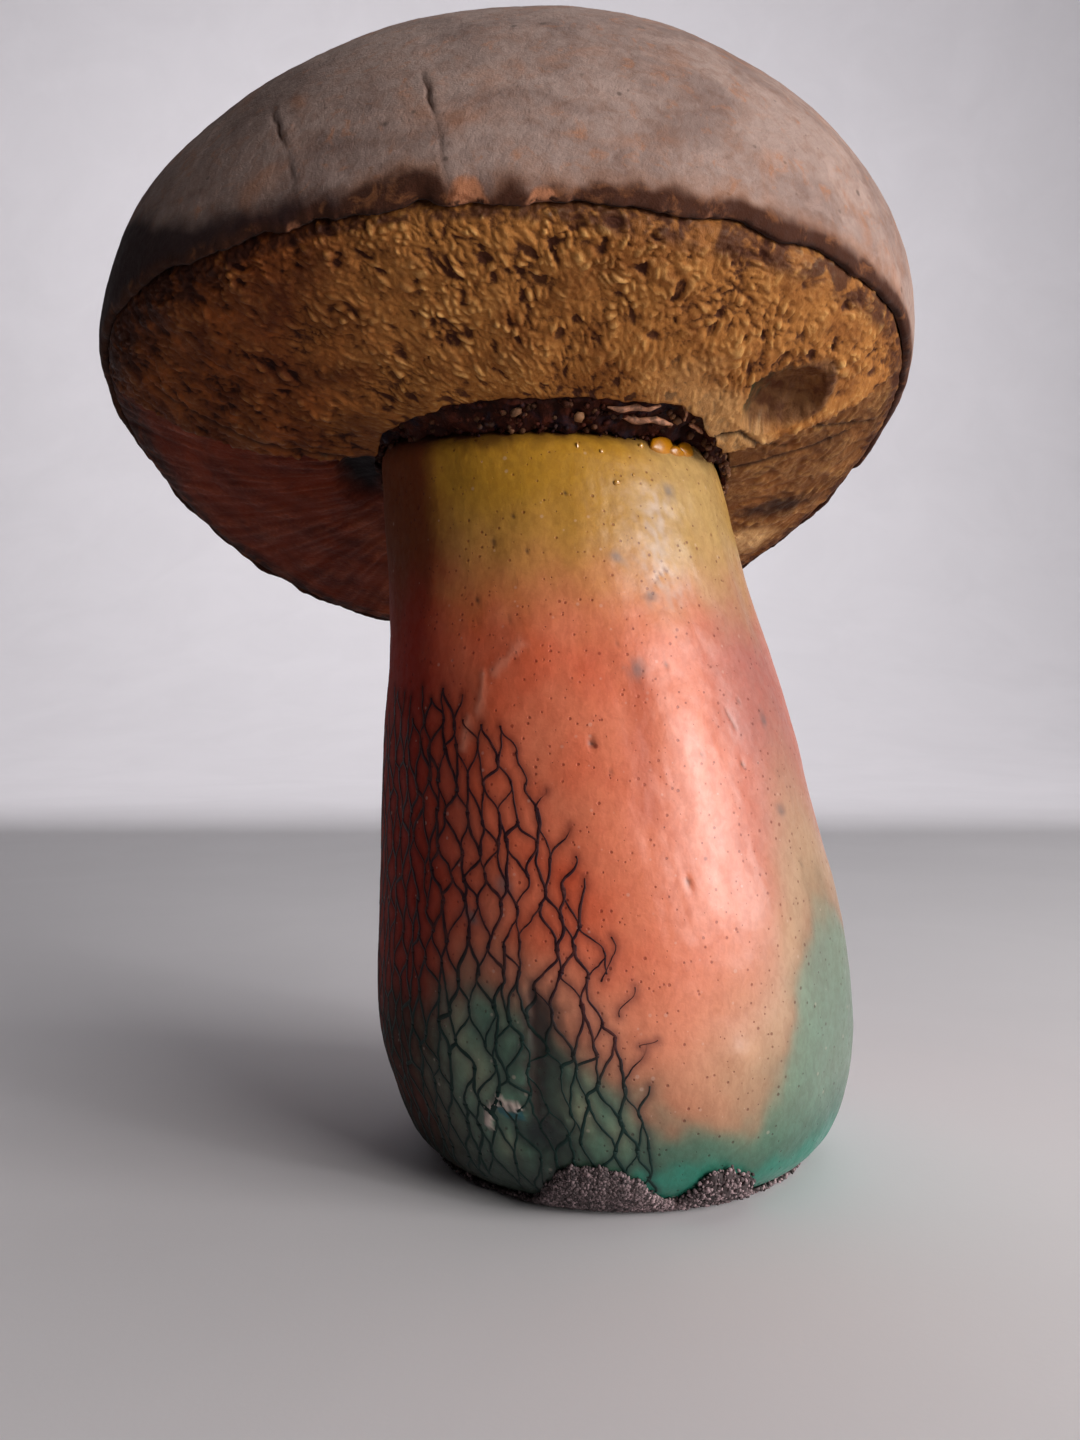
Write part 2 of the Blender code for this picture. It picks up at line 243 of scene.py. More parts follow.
def cell_value(cell, seed):
    """Random number from 0 to 1 for each whole-number cell (..., 3): the three indices are multiplied by
    large primes, joined bit by bit, and the bits are folded and multiplied twice."""
    n = (cell[..., 0] * 73856093) ^ (cell[..., 1] * 19349663) ^ (cell[..., 2] * 83492791) ^ (seed * 2654435)
    n = n & BITS
    n = ((n ^ (n >> 13)) * 1274126177) & BITS
    n = ((n ^ (n >> 15)) * 668265263) & BITS
    return ((n ^ (n >> 16)) & 0xFFFFFF) / float(0xFFFFFF)


def noise(points, size, seed=0):
    """Smooth random number, about -1 to 1, at each point: every corner of the point's cell of this size has a
    random slope, and the eight heights of those slopes are blended by 6t^5 - 15t^4 + 10t^3."""
    spot = np.asarray(points, float) / size
    base = np.floor(spot).astype(np.int64)
    inside = spot - base
    blend = inside**3 * (inside * (inside * 6 - 15) + 10)
    total = np.zeros(spot.shape[:-1])
    for corner in np.ndindex(2, 2, 2):
        cell = base + np.array(corner)
        round_it = TURN * cell_value(cell, seed)
        up = 2 * cell_value(cell, seed + 17) - 1
        flat = np.sqrt(1 - up**2)
        slope = np.stack((flat * np.cos(round_it), flat * np.sin(round_it), up), -1)
        weight = np.prod(np.where(np.array(corner) == 1, blend, 1 - blend), -1)
        total += weight * np.sum(slope * (inside - np.array(corner)), -1)
    return 1.6 * total


def layered_noise(points, size, seed=0, layers=3):
    """Sum of noises, each half as big and half as high as the one before."""
    return sum(noise(points, size / 2**n, seed + 31 * n) / 2**n for n in range(layers))


def lump_cells(u, v, size, stretch, lean, seed):
    """Grains packed over a plane. Each square of this size holds one point, set at random, with its own
    direction near lean radians. The distance to a point is hypot(along / stretch, across) in squares. Returns
    the distances to the nearest and the second nearest point, and the nearest one's random number."""
    x, y = u / size, v / size
    nearest, second = np.full(x.shape, 9.0), np.full(x.shape, 9.0)
    number = np.zeros(x.shape)
    for i, j in np.ndindex(5, 5):
        cell = np.stack((np.floor(x) + i - 2, np.floor(y) + j - 2, 0 * x), -1).astype(np.int64)
        dx = x - cell[..., 0] - 0.1 - 0.8 * cell_value(cell, seed)
        dy = y - cell[..., 1] - 0.1 - 0.8 * cell_value(cell, seed + 1)
        way = lean + 2.6 * (cell_value(cell, seed + 2) - 0.5)
        along, across = dx * np.cos(way) + dy * np.sin(way), dy * np.cos(way) - dx * np.sin(way)
        far = np.hypot(along / stretch, across)
        closer = far < nearest
        second = np.where(closer, nearest, np.minimum(second, far))
        number = np.where(closer, cell_value(cell, seed + 3), number)
        nearest = np.where(closer, far, nearest)
    return nearest, second, number


def smooth_step(value):
    """t^2 (3 - 2t) of the value held between 0 and 1."""
    t = np.clip(value, 0.0, 1.0)
    return t * t * (3.0 - 2.0 * t)


def round_table(angle, table):
    """Value at an angle in radians on straight lines through a table of (degrees, value) round the turn."""
    degrees, values = np.array(table, float).T
    return np.interp(np.degrees(angle), degrees, values, period=360.0)


def angle_apart(angle, middle):
    """Signed angle from middle, in radians, between -pi and pi; middle in degrees."""
    return (angle - math.radians(middle) + math.pi) % TURN - math.pi


def degrees_apart(angle, middle):
    """Signed angle from middle, in degrees, between -180 and 180; middle in degrees."""
    return np.degrees(angle_apart(angle, middle))


def on_cylinder(radius, angle, height=0.0):
    """Points on a cylinder, for random fields that go round a piece."""
    return np.stack((radius * np.cos(angle), radius * np.sin(angle), height + 0 * angle), -1)


def bell(value):
    """exp(-value^2)."""
    return np.exp(-(value**2))


def front_dense_angles(count, squeeze=0.45, middle=-100.0):
    """count angles round the turn, closer together near the middle angle: a = t - squeeze sin(t - middle)."""
    t = np.linspace(0.0, TURN, count, endpoint=False)
    return t - squeeze * np.sin(t - math.radians(middle))


# Meshes -----------------------------------------------------------------------------------------


def mesh_object(name, points, quads, triangles=None):
    """An object at the origin from points in mm, four-sided and three-sided faces."""
    triangles = np.zeros((0, 3), int) if triangles is None else np.asarray(triangles)
    quads = np.asarray(quads).reshape(-1, 4)
    corners = np.concatenate((quads.ravel(), triangles.ravel())).astype(np.int32)
    starts = np.concatenate((np.arange(len(quads)) * 4, len(quads) * 4 + np.arange(len(triangles)) * 3))
    mesh = bpy.data.meshes.new(name)
    mesh.vertices.add(len(points))
    mesh.vertices.foreach_set("co", (np.asarray(points, float) * MM).ravel())
    mesh.loops.add(len(corners))
    mesh.loops.foreach_set("vertex_index", corners)
    mesh.polygons.add(len(starts))
    mesh.polygons.foreach_set("loop_start", starts.astype(np.int32))
    mesh.update(calc_edges=True)
    mesh.shade_smooth()
    made = bpy.data.objects.new(name, mesh)
    bpy.context.scene.collection.objects.link(made)
    return made


def round_quads(rows, columns, ring=False):
    """Faces between neighbouring rows of a grid whose columns go round; ring joins last row and first."""
    row = np.arange(rows if ring else rows - 1)[:, None]
    column = np.arange(columns)[None, :]
    after, below = (column + 1) % columns, (row + 1) % rows
    faces = (row * columns + column, below * columns + column, below * columns + after, row * columns + after)
    return np.stack(faces, -1).reshape(-1, 4)


def round_grid_object(name, points, ring=False, top=None, bottom=None):
    """Object from a grid of points (rows, columns, 3). The rows run from the top, outside the piece, to the
    bottom, and the columns go round by rising angle. top and bottom are points that close the ends."""
    rows, columns = points.shape[:2]
    flat = [points.reshape(-1, 3)]
    column = np.arange(columns)
    after = (column + 1) % columns
    fans = []
    count = rows * columns
    if top is not None:
        flat.append(np.reshape(top, (1, 3)))
        fans.append(np.stack((np.full(columns, count), column, after), -1))
        count += 1
    if bottom is not None:
        last = (rows - 1) * columns
        flat.append(np.reshape(bottom, (1, 3)))
        fans.append(np.stack((np.full(columns, count), last + after, last + column), -1))
    triangles = np.concatenate(fans) if fans else None
    return mesh_object(name, np.concatenate(flat), round_quads(rows, columns, ring), triangles)


def store(obj, name, values):
    """Keeps a number for each point of the mesh; points past the end of values get the last one."""
    values = np.ravel(values)
    missing = len(obj.data.vertices) - len(values)
    if name in obj.data.attributes:
        obj.data.attributes.remove(obj.data.attributes[name])
    full = np.concatenate((values, np.full(missing, values[-1])))
    kept = obj.data.attributes.new(name, "FLOAT", "POINT")
    kept.data.foreach_set("value", full.astype(np.float32))


def outward(points, ring=False):
    """Unit normals of a round grid: the cross product of the steps round and the steps down the rows."""
    round_it = np.roll(points, -1, 1) - np.roll(points, 1, 1)
    down = np.roll(points, -1, 0) - np.roll(points, 1, 0)
    if not ring:
        down[0], down[-1] = points[1] - points[0], points[-1] - points[-2]
    normal = np.cross(down, round_it)
    return normal / np.maximum(np.linalg.norm(normal, axis=-1, keepdims=True), 1e-9)


def place(obj, look, slot, *nodes, **masks):
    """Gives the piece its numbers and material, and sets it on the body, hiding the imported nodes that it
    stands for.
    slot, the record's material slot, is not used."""
    for name, values in masks.items():
        store(obj, name, values)
    obj.data.materials.append(look)
    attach(obj, BODY)
    if nodes:
        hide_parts(*nodes)


def clear_piece(name):
    """Removes an earlier copy of a piece, so that its operator can be run again."""
    old = bpy.data.objects.get(name)
    if old is not None:
        bpy.data.objects.remove(old, do_unlink=True)


# Cap shapes -------------------------------------------------------------------------------------


def from_cap(points):
    """Points of the cap's own frame in the mushroom's: tipped back, then right, then set on the stem."""
    return points @ CAP_TURN.T + CAP_CENTRE


def out_of_round(angle):
    """How far the cap's outline stands out of a circle, as a factor on the radius."""
    return 1.0 + 0.027 * np.sin(angle) + 0.059 * np.cos(2 * angle) - 0.053 * np.sin(2 * angle)


def margin_height(angle):
    """Height of the wavy margin at an angle: two waves and a little of four round the turn."""
    wave = np.cos(2 * angle) - 0.07 * np.sin(2 * angle)
    return MARGIN_WAVE * (wave + 0.17 * np.cos(4 * angle) - 0.07 * np.sin(4 * angle))


def share_of_radius(u, v):
    """Distance from the cap's axis over the margin's distance in that direction, and the direction."""
    angle = np.arctan2(v, u)
    return np.hypot(u, v) / (MARGIN_RADIUS * out_of_round(angle)), angle


def underside_wave(u, v):
    """The margin's wave, fading towards the cap's axis with the fourth power of the radius."""
    share, angle = share_of_radius(u, v)
    return margin_height(angle) * np.minimum(share, 1.05) ** 4


# Split wrinkles of the skin: (degrees, mm above the margin's wave) down each one.
WRINKLES = (
    ((-124.0, 17.0), (-122.3, 14.6), (-118.2, 8.0), (-116.5, 4.5), (-115.6, 2.0), (-115.2, -0.5)),
    ((-100.5, 16.5), (-98.7, 12.3), (-97.6, 9.0), (-96.0, 5.6), (-95.3, 3.0), (-94.4, -0.5)),
)
# Chips of the skin's lower edge: middle in degrees, half width in degrees, height in mm.
CHIPS = (
    (-98.5, 2.6, 0.9), (-113.0, 2.2, 0.6), (-121.5, 3.0, 0.5), (-71.0, 2.0, 0.5), (-60.0, 3.4, 0.6),
    (-48.0, 2.5, 0.5), (-140.0, 2.4, 0.5), (12.0, 2.0, 0.6), (48.0, 3.0, 0.7), (95.0, 2.5, 0.5),
    (131.0, 2.0, 0.6), (160.0, 3.0, 0.6), (-168.0, 2.2, 0.6),
)
# Heights over the margin of the dark stain, the orange flakes and the painted shade on the left: (degrees, mm).
STAIN_HEIGHT = (
    (-180, 0.9), (-150, 0.9), (-135, 0.6), (-122, 0.7), (-112, 0.8), (-108, 1.2), (-105, 2.2), (-101, 2.9),
    (-98, 2.9), (-96.2, 2.3), (-95, 1.0), (-94, 0.3), (-90, 0.2), (-88.6, 1.1), (-87, 1.6), (-85.6, 1.1),
    (-84, 0.5), (-76, 1.6), (-70, 1.8), (-60, 1.7), (-50, 1.8), (-38, 1.5), (-20, 0.9), (30, 0.5),
    (80, 0.8), (130, 0.5),
)
FLAKE_HEIGHT = (
    (-180, -3), (-121, -3), (-117, 0.2), (-114, -0.4), (-111, -3), (-96.0, -3), (-94.6, 0.6), (-93.2, 1.6),
    (-91.2, 1.4), (-89.6, 0.2), (-88.0, -1.0), (-86.0, -0.6), (-84.0, 0.7), (-82.0, 0.9), (-80.0, 0.1),
    (-77, -2), (-66, -3), (-63, 0.2), (-60, -3),
)
PAINTED_SHADE_HEIGHT = (
    (-180, 16), (-165, 15), (-152, 11.5), (-143, 6.4), (-133, 3.4), (-116, 1.8), (-107, 1.2), (-103, 0.2),
    (-60, 0.4), (-40, 0.6), (-20, 0.6), (0, 0.8), (60, 1.0), (120, 3), (150, 8),
)


def wrinkle_field(angle, above):
    """Split of each wrinkle, and the swollen lip on its right. Across a wrinkle, d mm from its line, the split
    is exp(-(d / 0.2)^2) and the lip is exp(-((d - 0.9) / 0.8)^2). Both fade at the upper end and are deeper
    over the upper half than below."""
    split, lip = np.zeros_like(above), np.zeros_like(above)
    for points in WRINKLES:
        degrees, heights = np.array(points[::-1]).T
        middle = np.interp(above, heights, degrees)
        wander = 0.5 * noise(
            np.stack((np.full_like(above, heights[0]), np.zeros_like(above), above), -1), 2.3, 5,
        )
        across = angle_apart(angle, 0.0) - np.radians(middle + wander)
        across = ((across + math.pi) % TURN - math.pi) * CAP_RADIUS
        fade = smooth_step((heights[-1] - above) / 5.0) * (above > heights[0] - 1.0)
        share = (above - heights[0]) / (heights[-1] - heights[0])
        patchy = 0.14 + 0.86 * smooth_step((share - 0.48) / 0.14) + 0.4 * bell((share - 0.34) / 0.05)
        split += fade * patchy * bell(across / 0.20)
        lip += fade * (0.25 + 0.5 * patchy) * bell((across - 0.9) / 0.8)
    return split, lip


def cap_skin_points(cap):
    """Grid of the skin from the top of the dome, over the rolled margin, to the middle of its underside.
    Dome: r = R cos t, w = 8.1 + 40.4 sin t. Roll: r = 46.5 + 1.2 cos t, w = 8.1 + 8.1 sin t, t down to -90
    degrees. Both are scaled out of round and ride on the margin's wave; then the skin moves along its normal
    by swells, wrinkles and pimples, and its lower edge wanders and is chipped."""
    angle = front_dense_angles(SKIN_COLUMNS)[None, :]
    t = np.linspace(math.pi / 2, 0.0, 112)[1:]
    dome = np.stack((CAP_RADIUS * np.cos(t), CAP_WIDEST_HEIGHT + (CAP_HEIGHT - CAP_WIDEST_HEIGHT) * np.sin(t)))
    t = np.linspace(0.0, -math.pi / 2, 22)[1:]
    roll = np.stack((MARGIN_RADIUS + 1.2 * np.cos(t), CAP_WIDEST_HEIGHT * (1 + np.sin(t))))
    inner = MARGIN_RADIUS - 0.3 * MARGIN_LIP
    under = np.array([(inner, 0.1)] + [(x, RECESS_DEPTH) for x in (inner - 0.1, inner * 0.8, inner * 0.4)]).T
    radius, height = (x[:, None] for x in np.concatenate((dome, roll, under), 1))
    rows = np.arange(len(radius))[:, None]
    is_dome, is_under = rows < dome.shape[1], rows >= dome.shape[1] + roll.shape[1]

    wave = margin_height(angle)
    out = out_of_round(angle)
    u, v = radius * np.cos(angle) * out, radius * np.sin(angle) * out
    dome_w = height + 0.5 * (radius / CAP_RADIUS) ** 8 * wave
    roll_w = height + (1.0 - 0.5 * height / CAP_WIDEST_HEIGHT) * wave
    under_w = height + underside_wave(u, v)
    w = np.where(is_dome, dome_w, np.where(is_under, under_w, roll_w))
    points = np.stack((u, v, w), -1)

    skin = ~is_under
    above = height + 0 * angle
    split, lip = wrinkle_field(angle + 0 * height, above)
    swell = cap.swell / MM * layered_noise(points, 17.0, 3, 2)
    pimples = 0.05 * noise(points, 2.2, 11) + 0.025 * noise(points, 0.9, 12)
    depth = cap.wrinkle / MM
    fade = smooth_step(above / 2.0)
    relief = (swell + pimples) * fade + 0.5 * depth * lip - depth * split
    points += outward(points) * (relief * skin)[..., None]

    edge = on_cylinder(CAP_FIELD, angle)
    ragged = cap.ragged / MM * (noise(edge, 6.0, 21) + 0.6 * noise(edge, 2.2, 22) + 0.3 * noise(edge, 0.9, 23))
    for middle, half, tall in CHIPS:
        apart = np.abs(angle_apart(angle, middle)) / math.radians(half)
        ragged = ragged + tall * np.exp(-1.4 * apart**2)
    near_edge = smooth_step(1.0 - above / 3.2) ** 2
    on_lip = is_under & (rows < dome.shape[1] + roll.shape[1] + 1)
    lift = np.where(skin, near_edge, np.where(on_lip, 1.0, 0.0)) * np.maximum(ragged, -0.5)
    points[..., 2] += np.where(on_lip, np.minimum(lift, RECESS_DEPTH - 0.3), lift)
    flare = 0.25 * noise(edge, 4.0, 25)
    stretch = 1.0 + (np.where(skin, near_edge, 0.0) * flare)[..., None] / CAP_RADIUS
    points[..., :2] *= stretch
    return from_cap(points), above, split


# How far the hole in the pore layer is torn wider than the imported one: (degrees, mm).
HOLE_TEAR = (
    (-165, 0), (-150, 1.4), (-142, 2.4), (-135, 1.9), (-120, 1.7), (-108, 1.2), (-93, 0.6), (-74, 1.5),
    (-66, 2.4), (-58, 3.4), (-50, 2.9), (-42, 2.0), (-30, 0.8), (-15, 0), (90, 0),
)


def hole_radius(angle):
    """Radius of the torn hole round its own middle."""
    spot = on_cylinder(HOLE_FIELD, angle)
    tear = round_table(angle, HOLE_TEAR)
    return HOLE_RADIUS + tear + np.minimum(tear, 1.0) * (
        0.45 * noise(spot, 2.4, 44) + 0.25 * noise(spot, 0.9, 45)
    )


def pore_depth(u, v, step_width=1.2, ragged=0.0):
    """Depth of the pore surface: a cushion 10.8 (1 - s^2)^0.6, a little flatter in the middle, and thinner
    behind a step that runs across beside the stem."""
    share = np.minimum(share_of_radius(u, v)[0] * MARGIN_RADIUS / PORE_RADIUS, 1.0)
    depth = PORE_DEPTH * (1.0 - share * share) ** PORE_FULLNESS
    depth = depth * (1.0 - 0.16 * np.clip((0.62 - share) / 0.25, 0.0, 1.0) ** 2)
    behind = smooth_step((v - PORE_STEP_V - PORE_STEP_SLANT * u + ragged) / step_width + 0.5)
    return depth * (1.0 + (PORE_BACK_SHARE - 1.0) * behind), behind


# The dark band at the rim is rusty stain and painted shade under the skin's edge.
# Times that the smooth dark band at the rim is narrower than 0.12 of the radius: (degrees, factor).
RIM_WIDTH = (
    (-180, 0.7), (-150, 0.75), (-132, 1.2), (-120, 3.2), (-100, 4.5), (-86, 3.2), (-74, 1.5), (-55, 1.3),
    (-40, 1.6), (-28, 2.2), (0, 2.2), (40, 1.6), (120, 1.0),
)
BACK_DARK_PATCH = (37.4, 11.5, 4.2, 1.9)  # dark patch behind the step: middle and radii
LEDGE = (34.5, 19.5, 3.6, 3.0)  # pale patch beyond it
# Fine cracks of the pore surface: points (u, v) along each one, and its depth in mm.
PORE_CRACKS = (
    (((23.6, -14.0), (28.1, -14.3), (32.0, -10.5), (36.7, -6.8), (46.4, -3.2)), 0.5),
    (((28.3, 0.8), (37.9, -1.3), (43.9, -2.8)), 0.3),
    (((24.0, -9.0), (30.0, -6.0), (36.0, -2.5)), 0.3),
    (((-40.0, -11.0), (-32.0, -9.5), (-24.0, -8.6), (-17.0, -8.0)), 0.5),
)


def distance_to_path(u, v, path):
    """Least distance from (u, v) to the straight pieces of a path."""
    best = np.full(np.shape(u), 1e9)
    for (x0, y0), (x1, y1) in zip(path[:-1], path[1:]):
        length = (x1 - x0) ** 2 + (y1 - y0) ** 2
        t = np.clip(((u - x0) * (x1 - x0) + (v - y0) * (y1 - y0)) / length, 0, 1)
        best = np.minimum(best, np.hypot(u - x0 - t * (x1 - x0), v - y0 - t * (y1 - y0)))
    return best


def pore_points(pores):
    """Grid of the pore layer from its upper rim, down its side, over the cushion to the hole and up inside it.
    The share of the way from the hole to the rim is cos t. The cushion's depth is in pore_depth; it then moves
    along its normal: in front of the step by packed lumps, ridges 1 - 2.6 |noise|, grains and pits, behind it
    by long spokes with scribbles on the right, and last by the cracks, the pit and the hollow by the stem."""
    angle = front_dense_angles(PORE_COLUMNS)[None, :]
    below = np.cos(np.linspace(0.0, math.pi / 2, 116))
    share = np.concatenate(((1.0,), below, (0.0, 0.25, 0.6)))[:, None]
    is_below = np.zeros(share.shape, bool)
    is_below[1 : 1 + len(below)] = True
    hole = hole_radius(angle)
    radius = hole + (PORE_RADIUS - hole) * share
    out = 1.0 + (out_of_round(angle) - 1.0) * share
    u = radius * np.cos(angle) * out + HOLE_CENTRE[0] * (1.0 - share)
    v = radius * np.sin(angle) * out * (HOLE_STRETCH + (1.0 - HOLE_STRETCH) * share) + HOLE_CENTRE[1] * (
        1.0 - share
    )
    flat = np.stack((u, v, 0 * u), -1)
    ragged = 0.5 * noise(flat, 5.0, 41) + 0.3 * noise(flat, 1.7, 42)
    depth, behind = pore_depth(u, v, 1.2, ragged)
    w = np.where(is_below, -depth, PORE_TOP)
    w = w + underside_wave(u, v)
    points = np.stack((u, v, w), -1)
    normal = outward(points, ring=True)

    q, direction = share_of_radius(u, v)
    size = pores.lump / MM
    steps = np.linalg.norm(np.diff(points, axis=0, append=points[:1]), axis=-1) * is_below
    arc = HOLE_RADIUS + np.cumsum(steps[::-1], axis=0)[::-1]
    bend = 0.9 * noise(flat, 3.0, 51), 0.9 * noise(flat, 3.0, 52)
    place_u, place_v = arc * np.cos(angle) + bend[0], arc * np.sin(angle) + bend[1]
    lean = angle + 1.0 * noise(flat, 8.0, 54)
    near, next_near, number = lump_cells(place_u, place_v, size, 2.3, lean, 61)
    groove = smooth_step((next_near - near) / 0.42)
    tall = (0.45 + 1.0 * number) * groove * (1.0 - near**2)
    crowd_near, crowd_next, crowd_number = lump_cells(place_u + 40.0, place_v, 0.74 * size, 1.6, lean + 0.9, 63)
    crowd = (0.35 + 0.9 * crowd_number) * smooth_step((crowd_next - crowd_near) / 0.5) * (1.0 - crowd_near**2)
    mixed = smooth_step(0.45 + 1.3 * noise(flat, 3.6, 69))
    tall = tall + (crowd - tall) * 0.85 * mixed
    fine_near, fine_next, _ = lump_cells(place_u, place_v, 0.45 * size, 1.4, lean, 67)
    grains = smooth_step((fine_next - fine_near) / 0.4)
    pits = smooth_step((0.14 - number) / 0.06) * smooth_step((next_near - near) / 0.25)
    pits = np.maximum(pits, smooth_step((noise(flat, 1.5, 64) - 0.52) / 0.2))
    patches = layered_noise(flat, 7.0, 65, 2)
    worms = 1.0 - 2.6 * np.abs(noise(np.stack((place_u, place_v, 0 * u), -1), 1.9, 68))
    vivid = 0.50 + 0.50 * smooth_step(0.5 + 1.1 * noise(flat, 6.0, 66))
    front = vivid * (1.25 * tall - 0.62) + 0.16 * grains + 0.30 * worms - 0.16
    front = front - 1.1 * vivid * pits + 0.36 * patches
    long_spoke = np.stack((38 * np.cos(direction), 38 * np.sin(direction), q * MARGIN_RADIUS / 9.0), -1)
    scribble = smooth_step((u - 8.0) / 14.0)
    back = (0.50 - 0.30 * scribble) * noise(long_spoke, 0.9, 71) + 0.22 * (tall - 0.5) + 0.25 * noise(
        flat, 4.0, 73,
    )
    back = back + scribble * (0.45 * worms + 0.30 * (tall - 0.5) - 0.10)
    height = front * (1 - behind) + back * behind
    from_hole = np.hypot(u - HOLE_CENTRE[0], (v - HOLE_CENTRE[1]) / HOLE_STRETCH) - hole
    calm = 0.25 + 0.75 * smooth_step((from_hole - 1.0) / 4.5)
    rim = smooth_step((1.0 - q * MARGIN_RADIUS / PORE_RADIUS) / 0.03)
    relief = pores.relief / MM * 0.48 * height * calm * (0.60 + 0.40 * rim) + 0.30 * patches * rim
    hole_side = smooth_step(share / 0.03)
    relief = np.where(is_below, relief * (0.3 + 0.7 * hole_side), 0.0)
    crack = np.zeros_like(u)
    for path, deep in PORE_CRACKS:
        wander = 0.35 * noise(flat, 2.0, 81)
        line = bell((distance_to_path(u, v, path) + wander * 0.4) / 0.28)
        crack = np.maximum(crack, line)
        relief = relief - deep * line * is_below
    points = points + normal * relief[..., None]

    across, along = (u - PIT_CENTRE[0]) / PIT_RADII[0], (v - PIT_CENTRE[1]) / PIT_RADII[1]
    around = (np.abs(across) ** 3 + np.abs(along) ** 3) ** (1 / 3) + 0.07 * noise(flat, 1.6, 83)
    roof = PIT_CENTRE[2] + (PIT_RADII[2] - 0.2) * np.sqrt(np.clip(1 - around**2, 0, 1)) + 0.12 * tall
    in_pit = is_below & (around < 1.0) & (points[..., 2] < roof)
    points[..., 2] = np.where(in_pit, roof, points[..., 2])
    # The hollow by the stem, behind the step: a dent, painted near-black as the shade in it.
    hollow = 1.4 - np.hypot((u + 16.6) / 3.6, (v - 5.0) / 5.4) + 0.25 * noise(flat, 2.0, 84)
    hollow = smooth_step(hollow) * is_below
    points[..., 2] += 1.5 * hollow * behind
    back_dark_patch = np.hypot((u - BACK_DARK_PATCH[0]) / BACK_DARK_PATCH[2], (v - BACK_DARK_PATCH[1]) / BACK_DARK_PATCH[3]) - 0.35 * noise(flat, 2.2, 85)
    back_dark_patch = 0.72 * smooth_step(1.6 - back_dark_patch) * is_below
    tan = smooth_step((u - 14.0) / 12.0) * smooth_step((7.0 - from_hole + 3.0 * patches) / 5.0) * (1 - behind)
    ledge = 1.5 - np.hypot((u - LEDGE[0]) / LEDGE[2], (v - LEDGE[1]) / LEDGE[3]) + 0.35 * noise(flat, 2.2, 86)
    ledge = smooth_step(ledge) * is_below
    moss = -0.35 - 1.1 * across - 0.5 * along + 0.5 * tall
    rim_share = (1.0 - q * MARGIN_RADIUS / PORE_RADIUS) / 0.12
    masks = {
        "height": np.clip(0.5 + 0.5 * height, 0.0, 1.0),
        "behind": behind,
        "dark": np.maximum(np.maximum(crack * 0.9, hollow * behind), back_dark_patch),
        "pit": smooth_step((1.06 - around) / 0.16),
        "mossy": smooth_step((1.06 - around) / 0.16) * smooth_step(moss),
        # Distance from the hole, held at 1 on the lit right, for the painted shade near the stem.
        "from_hole": np.clip(from_hole / 10.0 + 1.2 * smooth_step((u - 12.0) / 10.0), 0, 1),
        "tan": np.maximum(tan, 2.0 * ledge),
        "rim": np.clip(rim_share * round_table(angle, RIM_WIDTH) + 0.10 * patches + 0.06 * (tall - 0.5), 0, 1),
        # Share of the painted shade over the left side of the pore surface.
        "left": smooth_step((-u - 3.0 + 3.0 * patches) / 20.0),
    }
    return from_cap(points), masks


# Stem shapes ------------------------------------------------------------------------------------


def station(height, column):
    """Radius or sideways shift of the stem at a height, on a cubic curve through the stations."""
    z, values = STEM_STATIONS[:, 0], STEM_STATIONS[:, column]
    slopes = np.gradient(values, z)
    i = np.clip(np.searchsorted(z, height) - 1, 0, len(z) - 2)
    span = z[i + 1] - z[i]
    t = (height - z[i]) / span
    return (
        values[i] * (1 + 2 * t) * (1 - t) ** 2
        + slopes[i] * span * t * (1 - t) ** 2
        + values[i + 1] * t * t * (3 - 2 * t)
        + slopes[i + 1] * span * t * t * (t - 1)
    )


def stem_shift(height):
    """Sideways shift of the stem's centre."""
    along = (height - STEM_SHOULDER) / (STEM_NECK_TOP - STEM_SHOULDER)
    last = STEM_STATIONS[-1, 2]
    low = station(np.minimum(height, STEM_SHOULDER), 2)
    return np.where(height <= STEM_SHOULDER, low, last + (STEM_LEAN_END - last) * along)


def stem_radius(height):
    """Radius of the stem."""
    low = station(np.clip(height, 0.0, STEM_SHOULDER), 1)
    high = np.maximum(STEM_NECK_RADIUS, 18.6 + STEM_SHOULDER - height)
    return np.where(height >= STEM_SHOULDER, high, low)


def leaned(radius, angle, height):
    """A point of the upright turned stem, moved with the lean of the real one."""
    side = smooth_step(1.0 + np.sin(angle))
    near_top = smooth_step((height - STEM_SHOULDER + 8.0) / 7.0)
    back = np.maximum(0.0, height - STEM_SHOULDER) * math.tan(CAP_TIP_BACK)
    x = radius * np.cos(angle) + stem_shift(height)
    y = radius * np.sin(angle) + back
    return np.stack((x, y, height + STEM_SHOULDER_LIFT * side * near_top), -1)


def on_stem(angle, height):
    """Coordinates on a cylinder as wide as the stem, for random fields that go round it."""
    return on_cylinder(STEM_FIELD, angle, height)


# Dark dents of the stem: degrees, height, radius and depth in mm.
STEM_DENTS = (
    (-91.6, 50.1, 0.40, 0.30), (-74.4, 35.7, 0.34, 0.20), (-64.9, 49.0, 0.22, 0.14),
    (-52.8, 47.6, 0.24, 0.16), (-88.0, 47.3, 0.22, 0.12), (-81.8, 60.7, 0.20, 0.12),
    (-69.7, 58.2, 0.26, 0.10), (-48.9, 54.7, 0.22, 0.12), (-39.3, 36.7, 0.28, 0.16),
    (-111.6, 71.7, 0.34, 0.16), (-88.4, 76.8, 0.22, 0.12), (-104.6, 74.5, 0.22, 0.12),
    (-118.5, 65.4, 0.28, 0.12), (-109.4, 63.3, 0.24, 0.12), (-101.9, 70.5, 0.20, 0.10),
    (-95.0, 57.0, 0.18, 0.10),
)
# Grey bruises under the varnish: degrees, height, radius in mm.
STEM_BRUISES = (
    (-77.8, 57.8, 1.05), (-54.5, 77.7, 0.75), (-40.4, 52.4, 0.65), (-42.7, 42.6, 0.60), (-115.3, 35.4, 1.0),
    (-77.1, 70.0, 0.65), (-123.9, 31.5, 0.8), (-69.2, 65.8, 0.6),
)
